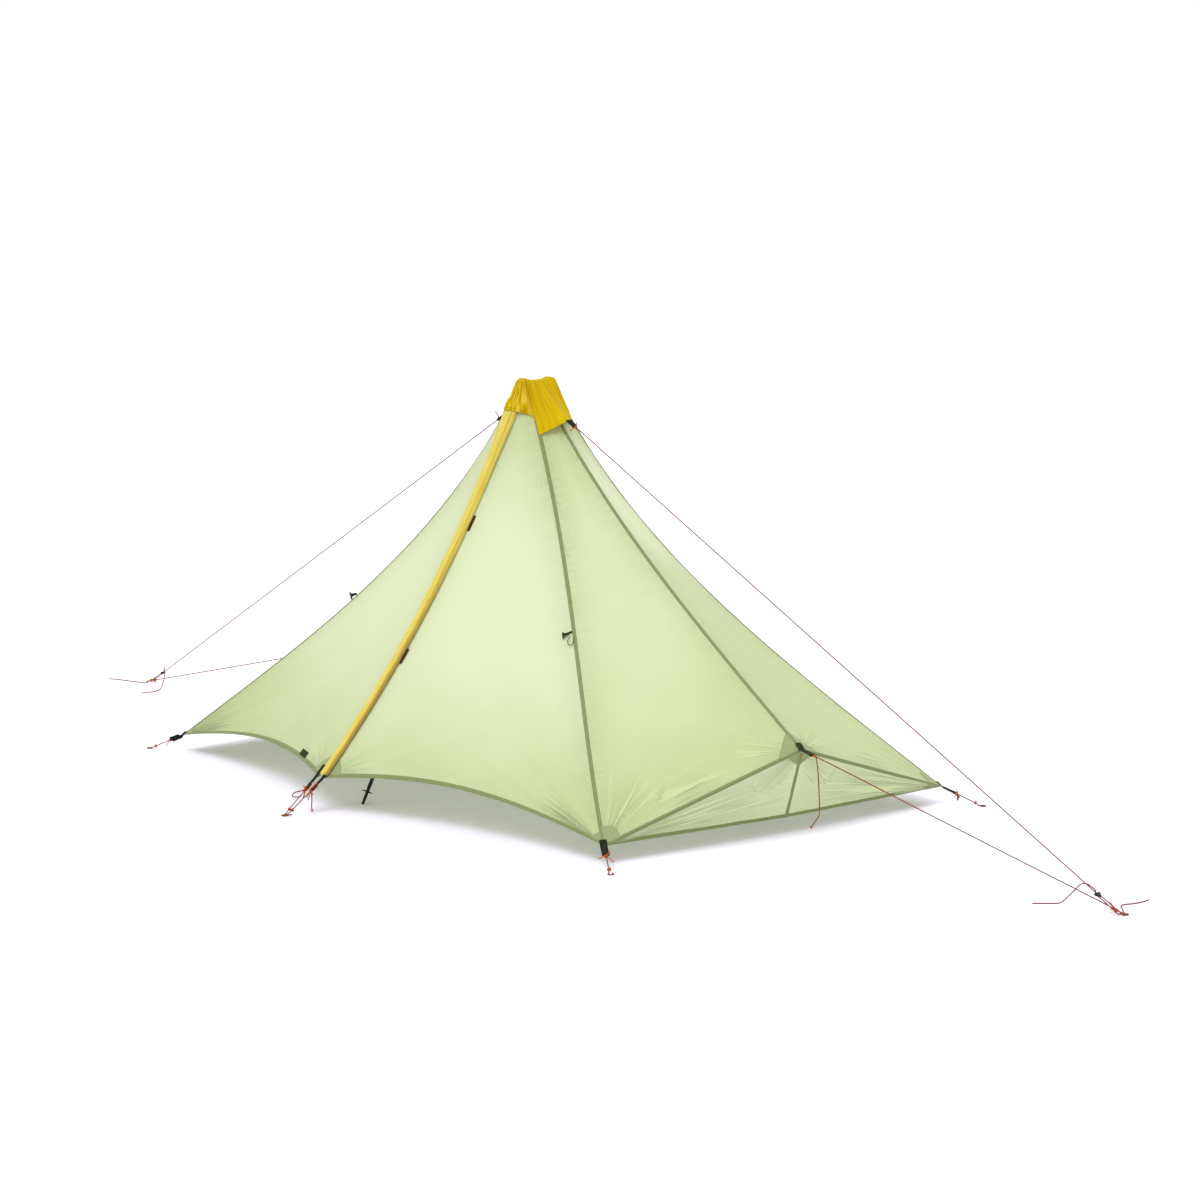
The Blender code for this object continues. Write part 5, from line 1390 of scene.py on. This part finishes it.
def folded_tab(name, start, way, width, length, look, node, sewn=(), bulge=0.0026, twist=0.0):
    """Webbing folded double round the cord: out along the way, round, and back under itself."""
    across = level_across(way)
    out = unit(np.cross(across, way))
    out = out if out[2] > 0 else -out
    half = 0.00045
    outward = [start + way * s + out * h for s, h in
               ((TAB_START_GAP, half), (length * 0.45, half), (length * 0.74, half),
                (length - 0.004, bulge * 0.9), (length - 0.0012, bulge * 0.6), (length - 0.0004, 0.0))]
    inward = [start + way * s - out * h for s, h in
              ((length - 0.0012, bulge * 0.6), (length - 0.004, bulge * 0.9), (length * 0.74, half),
               (length * 0.45, half), (TAB_START_GAP, half))]
    spine = smooth_points([*sewn, *outward, *inward], 4)
    share = soft_step((spine - start) @ way / length / 0.25)[:, None] * twist
    turned = across * np.cos(share) + np.cross(way, across) * np.sin(share)
    away = (spine - start) - ((spine - start) @ way)[:, None] * way
    spine = spine - away + away * np.cos(share) + np.cross(way, away) * np.sin(share)
    obj = strap_mesh(name, spine, turned, width, 0.0010, look)
    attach(obj, "fly")
    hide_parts(node)
    return start + way * length


def peg_eye(peg, way, level=0):
    """The cord's turn round the place of a peg, on the ground or a cord's thickness above it."""
    ahead = unit(vec(way[0], way[1], 0))
    across = level_across(ahead)
    middle = vec(peg[0], peg[1], CORD_REST * (1 + 2 * level) + 0.0003 * level)
    return [middle + (ahead * math.cos(math.pi * turn) + across * math.sin(math.pi * turn)) * PEG_EYE
            for turn in steps(-EYE_TURN, EYE_TURN, 6)]


def thirds(first, last):
    return [first + (last - first) / 3, first + (last - first) * 2 / 3]


def peg_cord(name, start, peg, body, node, ends, level=0):
    way = unit(peg - start)
    across = level_across(way)
    eye = peg_eye(peg, way, level)
    back = eye[-1] - unit(vec(way[0], way[1], 0)) * PEG_EYE
    first = start + way * CORD_END_GAP
    side = across * PEG_EYE / 4
    throat = peg - way * PEG_EYE * 3 - side
    place = start + way * TAB_KNOT_OUT
    pieces = [knot(f"{name}_tab_knot", place, way, body, 0.0050),
              knot(f"{name}_loop_knot", throat + side * 0.6, way, body, 0.0050)]
    ways = [way * a + across * b + vec(0, 0, c) for a, b, c in ends]
    pieces += loose_ends(f"{name}_end", place, ways, body)
    points = [first, *thirds(first, throat), throat, *eye, back]
    cord(name, points, body, 3, node)


CORNER_ENDS = ((0.1, 0.5, 0.9), (0.2, -0.9, 0.1), (0.5, 0.9, -0.3))
SPARE_LOOP = ((0.001, 0.0), (0.006, 0.006), (0.009, 0.014), (0.003, 0.019), (-0.003, 0.013), (-0.001, 0.003))


def make_corner(side_x, side_y, half):
    start, out = low_corner(side_x, side_y), unit(vec(side_x * HALF_LENGTH, side_y * HALF_WIDTH, 0))
    peg = vec(side_x * HALF_LENGTH, side_y * HALF_WIDTH, 0) + out * PEG_OUT
    way = unit(peg - start)
    name = f"{ENDS[side_x]}_{half}_corner"
    sewn = sewn_part(hip(side_x, side_y), 0.0030, fall=0.9)
    twist = 0.0 if (side_x, side_y) == (1, -1) else 0.9 * side_x * side_y
    narrow = (side_x, side_y) == (1, 1)
    width, look, bulge = (0.007, "green_webbing", 0.0034) if narrow else (0.020, "webbing", 0.0020)
    end = folded_tab(f"{name}_webbing", start, way, width, 0.045, look, f"{name}_tab", sewn, bulge, twist)
    peg_cord(f"{name}_line", end, peg, "fly", f"{name}_cord", CORNER_ENDS)
    if narrow:
        foot, across = end + way * 0.006, level_across(way)
        loop = [foot + across * b - vec(0, 0, c) for b, c in SPARE_LOOP]
        cord(f"{name}_spare_loop", loop, "fly", 4)


def make_rear_corner():
    start, peg = vec(0, MIDDLE_CORNER_Y, MIDDLE_CORNER_HEIGHT), vec(0, MIDDLE_PEG_Y, 0)
    sewn = sewn_part(middle_arc(1), 0.0030, fall=0.9)
    end = folded_tab("rear_corner_webbing", start, unit(peg - start), 0.020, 0.048, "webbing",
                     "rear_corner_tab", sewn)
    peg_cord("rear_corner_line", end, peg, "fly", "rear_corner_cord", ((0.2, 0.9, 0.3), (0.3, -0.9, 0.1)))


for side_x in (1, -1):
    for side_y, half in HALVES:
        make_corner(side_x, side_y, half)
make_rear_corner()


# The webbing and cords at the foot of the door, which ride on the door's leaves


DOOR_LOOP = ((0.001, 0.002), (0.012, 0.003), (0.026, 0.006), (0.036, 0.012), (0.036, 0.019), (0.024, 0.021),
             (0.012, 0.018))
DOOR_TAIL = ((0.004, 0.001), (0.008, 0.014), (0.007, 0.030), (0.005, 0.046), (0.008, 0.056))


def make_door_tab(side):
    front, door = FRONTS[side], DOORS[side]
    lift = front.normal * (CLOTH + 0.0037)
    length = np.linalg.norm(front.zip(1.0) - front.door_top)
    sewn = front.beside_zip(0.012, np.array(1 - 0.040 / length)) + lift
    edge = front.beside_zip(0.012, np.array(1.0)) + lift
    peg = vec(side * 0.006, -MIDDLE_PEG_Y, CORD_REST)
    way = unit(peg - edge)
    end = edge + way * 0.050
    out = front.normal * 0.0009
    low = edge * 0.4 + end * 0.6
    spine = [sewn, sewn * 0.5 + edge * 0.5 + out, edge + out * 0.5, low + out, end + out * 1.6,
             end + way * 0.0016, end - out * 1.6, low - out]
    obj = strap_mesh(f"{door}_webbing", smooth_points(spine, 5), vec(1, 0, 0), 0.014, 0.0009, "webbing")
    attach(obj, door)
    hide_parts(f"{door}_tab")
    ends = ((0.4, 0.8 * side, 0.2), (0.8, -0.7 * side, -0.4), (0.1, 0.2 * side, 1.0), (0.5, 0.3 * side, -0.9))
    peg_cord(f"{door}_line", end, peg, door, f"{door}_cord", ends, 1 if side > 0 else 0)
    for number, before in enumerate((0.005, 0.013, 0.021) if side > 0 else (0.005,)):
        knot(f"{door}_wrap_{number + 1}", end - way * before, way + vec(0.3 * number, 0, 0.2), door, 0.0058)
    foot = end + way * 0.004
    if side < 0:
        loop = [foot + vec(-0.605, -0.796, 0) * a - vec(0, 0, c) for a, c in DOOR_LOOP]
        cord("left_door_spare_loop", loop, door, 4)
    else:
        tail = [foot + level_across(way) * b - vec(0, 0, c) for b, c in DOOR_TAIL]
        low_knot = knot("right_door_spare_knot", tail[-1], vec(0, 0, -1), door, 0.0030, radius=0.0012)
        cord("right_door_spare_tail", tail, door, 4)


for side in (1, -1):
    make_door_tab(side)


TAG_ACROSS, TAG_ABOVE, TAG_HALF, TAG_HALF_ACROSS = 0.788, 0.021, 0.010, 0.026


def make_tag():
    """A small bare tag sewn above the hem of the left leaf."""
    front = FRONTS[-1]
    down = 1 - TAG_ABOVE / np.linalg.norm(front.zip(1.0) - front.door_top)
    centre = front.leaf_point(np.array(TAG_ACROSS), np.array(down))
    across = unit(front.leaf_point(np.array(TAG_ACROSS + 0.02), np.array(down)) - centre)
    below = unit(front.leaf_point(np.array(TAG_ACROSS), np.array(1.0)) - centre)
    lift = front.normal * (CLOTH + 0.0022)
    rows = [[centre + across * a * TAG_HALF_ACROSS + below * b * TAG_HALF + lift for a in steps(-1, 1, 6)]
            for b in steps(-1, 1, 6)]
    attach(thicken(grid_mesh("hem_tag", np.array(rows), "green_webbing"), 0.0007), "left_door")


make_tag()


# Guylines


FOOT_TAIL = ((2.268, -0.011, 0.061), (2.251, -0.015, 0.058), (2.235, -0.019, 0.042),
             (2.214, -0.025, 0.020), (2.200, -0.031, 0.006), (2.187, -0.037, CORD_REST),
             (2.170, -0.056, CORD_REST), (2.148, -0.080, CORD_REST))
HEAD_TAIL = ((-2.254, -0.014, 0.064), (-2.236, -0.022, 0.048), (-2.216, -0.040, 0.020),
             (-2.198, -0.062, CORD_REST), (-2.172, -0.090, CORD_REST), (-2.160, -0.124, CORD_REST),
             (-2.166, -0.156, CORD_REST))
RAISED_TAIL_DROPS = (0.193, 0.182, 0.162, 0.115, 0.070, 0.030, 0.008)
RAISED_TAIL_SWINGS = (-0.018, -0.006, 0.012, 0.012, 0.010, 0.007, 0.003)
FOOT_SECOND_TAIL = ((2.334, 0.044, CORD_REST), (2.305, 0.072, CORD_REST), (2.311, 0.100, CORD_REST),
                    (2.315, 0.130, CORD_REST), (2.309, 0.164, CORD_REST))
HEAD_SECOND_TAIL = ((-2.352, -0.035, CORD_REST), (-2.408, -0.052, CORD_REST),
                    (-2.466, -0.066, CORD_REST), (-2.524, -0.086, CORD_REST))


def placed_on(place, axis):
    """The matrix that stands a piece on a place, with its z along an axis."""
    turn = Vector(axis).to_track_quat("Z", "Y").to_matrix().to_4x4()
    return Matrix.Translation(Vector(place)) @ turn


def bore(obj, holes):
    """Cuts round holes through a piece. Each has a place, an axis, a radius and a depth."""
    made = bmesh.new()
    for place, axis, radius, depth in holes:
        cone = bmesh.ops.create_cone(made, cap_ends=True, segments=16, radius1=radius, radius2=radius,
                                     depth=depth)
        bmesh.ops.transform(made, matrix=placed_on(place, axis), verts=cone["verts"])
    mesh = bpy.data.meshes.new(f"{obj.name}_bores")
    made.to_mesh(mesh)
    made.free()
    cutter = add_object(mesh.name, mesh)
    step = obj.modifiers.new("bores", "BOOLEAN")
    step.operation, step.object, step.solver, step.use_self = "DIFFERENCE", cutter, "EXACT", True
    bpy.context.view_layer.update()
    bored = bpy.data.meshes.new_from_object(obj.evaluated_get(bpy.context.evaluated_depsgraph_get()))
    obj.modifiers.clear()
    obj.data = bored
    bpy.data.objects.remove(cutter)


LOCK_PROFILE = ((0.80, 0.0033), (0.93, 0.0029), (1.0, 0.0016),
                (1.0, -0.0016), (0.93, -0.0029), (0.80, -0.0033))
LOCK_SIDES = 48


def line_lock(node, centre, way, across):
    """A moulded lock with three lobes, and a bore along its length."""
    out = np.cross(across, way)
    verts = []
    for share, level in LOCK_PROFILE:
        for angle in (2 * math.pi * k / LOCK_SIDES for k in range(LOCK_SIDES)):
            reach = (0.0083 + 0.0022 * math.cos(3 * angle)) * share
            turned = across * reach * math.sin(angle) + way * reach * math.cos(angle) * 0.98
            verts.append(tuple(centre + turned + out * level))
    mesh = bpy.data.meshes.new(f"{node}_body")
    mesh.from_pydata(verts, [], ring_faces(len(LOCK_PROFILE), LOCK_SIDES))
    solid = bmesh.new()
    solid.from_mesh(mesh)
    bmesh.ops.recalc_face_normals(solid, faces=solid.faces)
    solid.to_mesh(mesh)
    solid.free()
    obj = link(f"{node}_body", mesh, "plastic")
    holes = [(centre, way, 0.0021, 0.05)]
    for angle in (math.radians(turn) for turn in (0, 120, 240)):
        lobe = (across * math.sin(angle) + way * math.cos(angle)) * 0.0062
        holes.append((centre + lobe, out, 0.0019, 0.02))
    bore(obj, holes)
    soften(obj, SMALL_EDGE)
    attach(obj, node)
    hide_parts(node)


def make_guyline(side_x):
    """The long guyline, from the cap to its lock and round the peg's place, with its loose tail."""
    end, seam = ENDS[side_x], end_seam(side_x)
    lift = outward_normal(seam(1.0) - seam(0.0)) * (CLOTH + CAP_LIFT)
    start = faceted(cap_end(side_x), CAP_END) + lift
    peg = vec(side_x * PEG_DISTANCE, -side_x * TWO_CORDS_APART / 2, CORD_REST)
    start[1] = peg[1]
    way = unit(peg - start)
    start = start + way * TAB_START_GAP
    wide, tied, rise = (0.015, "knot", 0.021) if side_x > 0 else (0.010, "cord", 0.036)
    tip = folded_tab(f"{end}_apex_webbing", start, way, wide, 0.040, "webbing", f"{end}_apex_tab", twist=0.35)
    way = unit(peg - tip)
    across = level_across(way)
    out = np.cross(across, way)
    out = out if out[2] > 0 else -out
    lock = peg - way * LOCK_DISTANCE
    place = tip + way * TAB_KNOT_OUT
    pieces = [knot(f"{end}_guy_knot", place, way, "fly", 0.0046, look=tied)]
    ways = [vec(0.05 * side_x, 0.05, 1), way * 0.3 - across]
    pieces += loose_ends(f"{end}_guy_end", place, ways, "fly", rise, tied)
    line = [tip + way * CORD_END_GAP, tip * 0.75 + lock * 0.25, (tip + lock) / 2,
            tip * 0.25 + lock * 0.75, lock]
    cord(f"{end}_guy", line, "fly", 4, f"{end}_guyline")
    line_lock(f"{end}_line_lock", lock - way * LOCK_LENGTH / 2, way, across)
    foot = lock + way * CORD_END_GAP
    spread = across * LOCK_CORD_OFFSET
    near = peg - way * PEG_EYE * 3
    runs = [foot - spread, (foot + near) / 2 - spread, near - spread]
    back = [near + spread, (foot + near) / 2 + spread, foot + spread]
    pieces = [knot(f"{end}_peg_loop_knot", near + way * 0.004, way, "fly", 0.0050)]
    line = runs + peg_eye(peg, way, 1) + back
    cord(f"{end}_peg_line", line, "fly", 3, f"{end}_peg_loop")
    head = lock - way * (LOCK_LENGTH + CORD_END_GAP) + out * (2 * CORD_RADIUS + 0.0005)
    spots = FOOT_TAIL if side_x > 0 else HEAD_TAIL
    line = [head, head - way * LOCK_LENGTH / 2 + out * CORD_RADIUS] + [vec(*spot) for spot in spots]
    cord(f"{end}_loose_tail", line, f"{end}_line_lock", 4, f"{end}_guy_tail")


def make_second_guyline(side_x):
    """The guyline from the raised point to the same peg's place, with the tail at each of its ends."""
    end, start = ENDS[side_x], raised_point(side_x)
    peg = vec(side_x * PEG_DISTANCE, side_x * TWO_CORDS_APART / 2, CORD_REST)
    way = unit(peg - start)
    sewn = sewn_part(end_seam(side_x), 0.0034, (0.984, 0.992))
    tip = folded_tab(f"{end}_raised_webbing", start, way, 0.019, 0.050, "green_webbing",
                     f"{end}_raised_tab", sewn)
    place = tip + way * (CORD_END_GAP + CORD_RADIUS)
    tail = [place + vec(side_x * CORD_RADIUS * 3, swing, -drop)
            for drop, swing in zip(RAISED_TAIL_DROPS, RAISED_TAIL_SWINGS)]
    throat = peg - way * PEG_EYE * 3
    before = throat - way * THROAT_KNOT_BACK
    pieces = [knot(f"{end}_raised_knot", place + way * 0.001, way, "fly", 0.0040),
              knot(f"{end}_raised_tail_knot", tail[0], tail[1] - tail[0], "fly", 0.0028),
              knot(f"{end}_throat_knot", before, way, "fly", 0.0050)]
    beside = level_across(way) * side_x * 2.1 * CORD_RADIUS
    doubled = np.array([before + (peg - throat) * t * 1.5 + beside * math.sin(math.pi * min(t * 1.6, 1))
                        for t in steps(0, 1, 12)])
    doubled[:, 2] = np.maximum(doubled[:, 2], CORD_REST)
    pieces.append(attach(tube_mesh(f"{end}_second_guy_double", doubled, CORD_RADIUS, "knot"), "fly"))
    pieces += loose_ends(f"{end}_throat_end", before, [vec(-0.25 * side_x, 0.1, 1)], "fly", 0.022)
    spots = FOOT_SECOND_TAIL if side_x > 0 else HEAD_SECOND_TAIL
    line = [*tail, place + way * CORD_RADIUS * 6, *thirds(place, throat), throat, *peg_eye(peg, way)]
    line += [vec(*spot) for spot in spots]
    cord(f"{end}_second_guy", line, "fly", 3, f"{end}_raised_guyline")


for side_x in (1, -1):
    make_guyline(side_x)
    make_second_guyline(side_x)


# Toggles


TOGGLE_SHARE = 0.525


def toggle_frame(side, below=0.0):
    front = FRONTS[side]
    share = TOGGLE_SHARE + below / np.linalg.norm(front.hip(1.0) - front.hip(0.0))
    point = faceted(front.hip, share)
    down = unit(faceted(front.hip, share + HEM_RISE) - point)
    inward = unit(faceted(front.zip, share) - point)
    out = unit(np.cross(inward, down))
    return point, down, inward, out if out[1] < 0 else -out


def toggle_bar(name, centre, along, node):
    """A moulded bar with a waist where its cord goes round."""
    place, sides, rings = placed_on(centre, along), 20, []
    for share in np.linspace(-1, 1, 25):
        end = math.sqrt(max(1 - abs(share) ** 6, 0.0))
        radius = (0.0033 - 0.0012 * math.exp(-(share / 0.28) ** 2)) * end
        angles = [2 * math.pi * k / sides for k in range(sides)]
        rings.append([tuple(place @ Vector((radius * math.cos(a), radius * math.sin(a), share * 0.012)))
                      for a in angles])
    obj = grid_mesh(name, np.array(rings), "green_plastic", cyclic=True)
    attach(obj, node)
    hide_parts(node)


def toggle_strap(name, spine, across, widths, body):
    obj = strap_mesh(name, smooth_points(spine, 4), across, widths, 0.0009, "green_webbing")
    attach(obj, body)


def make_right_toggle():
    point, down, inward, out = toggle_frame(1)
    first = point + out * 0.00175 + inward * 0.0058
    last = point + out * 0.0055 + inward * 0.040 + down * 0.026
    toggle_bar("right_toggle_bar", last, down, "right_toggle")
    way = unit(last - first)
    before = last - way * 0.002
    spine = [first, first + way * 0.006 + out * 0.0004, (first + last) / 2 + out * 0.0012 + down * 0.002,
             before + out * 0.002, last + way * 0.0024, before - out * 0.002]
    toggle_strap("right_toggle_strap", spine, down, (0.006, 0.008, 0.013, 0.015), "right_toggle")


def make_toggle_loop():
    """The loop that the opened door's toggle goes through."""
    def spot(below, across, lift):
        point, _, inward, out = toggle_frame(1, below)
        return point + inward * across + out * lift

    seat, lift, top, low, wide = 0.00225, 0.0055, 0.022, 0.054, 0.012
    middle = (top + low) / 2
    spots = ((top, wide / 3, seat), (middle, wide / 3, lift), (low, wide, lift), (low, wide * 2, lift),
             (middle, wide * 2, lift), (top, wide, lift))
    cord("right_toggle_line", [spot(*s) for s in spots], "fly", 4, "right_toggle_loop",
         look="loop", radius=LOOP_CORD_RADIUS)


def make_left_toggle():
    point = toggle_frame(-1)[0]
    level = unit(vec(point[0], point[1], 0))
    first = point + level * 0.0058
    last = point + level * 0.028 - vec(0, 0, 0.007)
    hanging = unit(level * -0.3 - vec(0, 0, 1))
    toggle_bar("left_toggle_bar", last, hanging, "left_toggle")
    way = unit(last - first)
    side = unit(np.cross(way, hanging))
    before = last - way * 0.002
    spine = [first, (first + last) / 2 + vec(0, 0, 0.001), before + side * 0.002, last + way * 0.0022,
             before - side * 0.002]
    toggle_strap("left_toggle_strap", spine, hanging, (0.006, 0.010, 0.015, 0.015), "left_toggle")


make_right_toggle()
make_toggle_loop()
make_left_toggle()


# Poles and the zip's slider keep their CAD shapes, with their own finishes


POLE_LOOKS = {"grip": "foam", "upper_shaft": "tube", "lower_shaft": "tube", "lock_clamp": "plastic",
              "lock_lever": "plastic", "tip": "plastic"}
for pole in ("front_pole", "rear_pole"):
    for part, look in POLE_LOOKS.items():
        paint(NODES[f"{pole}_{part}"], look)
        if look == "plastic":
            soften(NODES[f"{pole}_{part}"], 0.0005)
paint(NODES["zip_slider"], "zinc")
soften(NODES["zip_slider"], SMALL_EDGE)


# Sheets


LEAST_FILLED = 0.301
for obj, width, length, area, held_by in SHEETS:
    area = max(min(area, width * length), LEAST_FILLED * width * length)


# Floor, lights and world


WHITE, FLOOR_REACH = (1, 1, 1, 1), 60


def make_floor():
    """A plain floor, brighter to the camera alone so that it shows white and keeps the shadow."""
    s = Shader("floor_look")
    base = s.mix(s.noise(s.here(), 2.0, 2.0), (0.90, 0.90, 0.90), (0.915, 0.915, 0.915))
    lit = s.node("BsdfDiffuse", Color=base).outputs[0]
    seen = s.node("BsdfDiffuse", Color=(1.29, 1.22, 1.44, 1)).outputs[0]
    is_camera = s.node("LightPath").outputs["Is Camera Ray"]
    mesh = bpy.data.meshes.new("floor")
    corners = [(x * FLOOR_REACH, y * FLOOR_REACH, 0) for x, y in ((-1, -1), (1, -1), (1, 1), (-1, 1))]
    mesh.from_pydata(corners, [], [(0, 1, 2, 3)])
    mesh.materials.append(s.finish(s.node("MixShader", s0=is_camera, s1=lit, s2=seen).outputs[0]))
    add_object("floor", mesh)


def make_world():
    """Soft even light, with a white backdrop for the camera, in gloss and through glass."""
    s = Shader("studio", "worlds")
    bpy.context.scene.world = s.owner
    path = s.node("LightPath").outputs
    shiny = s.math("MAXIMUM", path["Is Glossy Ray"], path["Is Transmission Ray"])
    seen = s.math("MAXIMUM", path["Is Camera Ray"], shiny)
    light, backdrop = (s.node("Background", Color=WHITE, Strength=strength).outputs[0]
                       for strength in (0.62, 1.0))
    s.finish(s.node("MixShader", s0=seen, s1=light, s2=backdrop).outputs[0], "OutputWorld")


def make_lamps():
    for name, azimuth, elevation, strength, spread in (("key", 20, 62, 1.05, 40),
                                                       ("back", 200, 55, 0.55, 50)):
        data = bpy.data.lights.new(name, "SUN")
        data.energy, data.angle = strength, math.radians(spread)
        lamp = add_object(name, data)
        lamp.rotation_mode = "QUATERNION"
        lamp.rotation_quaternion = seen_from(azimuth, elevation).to_track_quat("Z", "Y")


make_floor()
make_world()
make_lamps()
bpy.context.scene.view_settings.view_transform = "Standard"
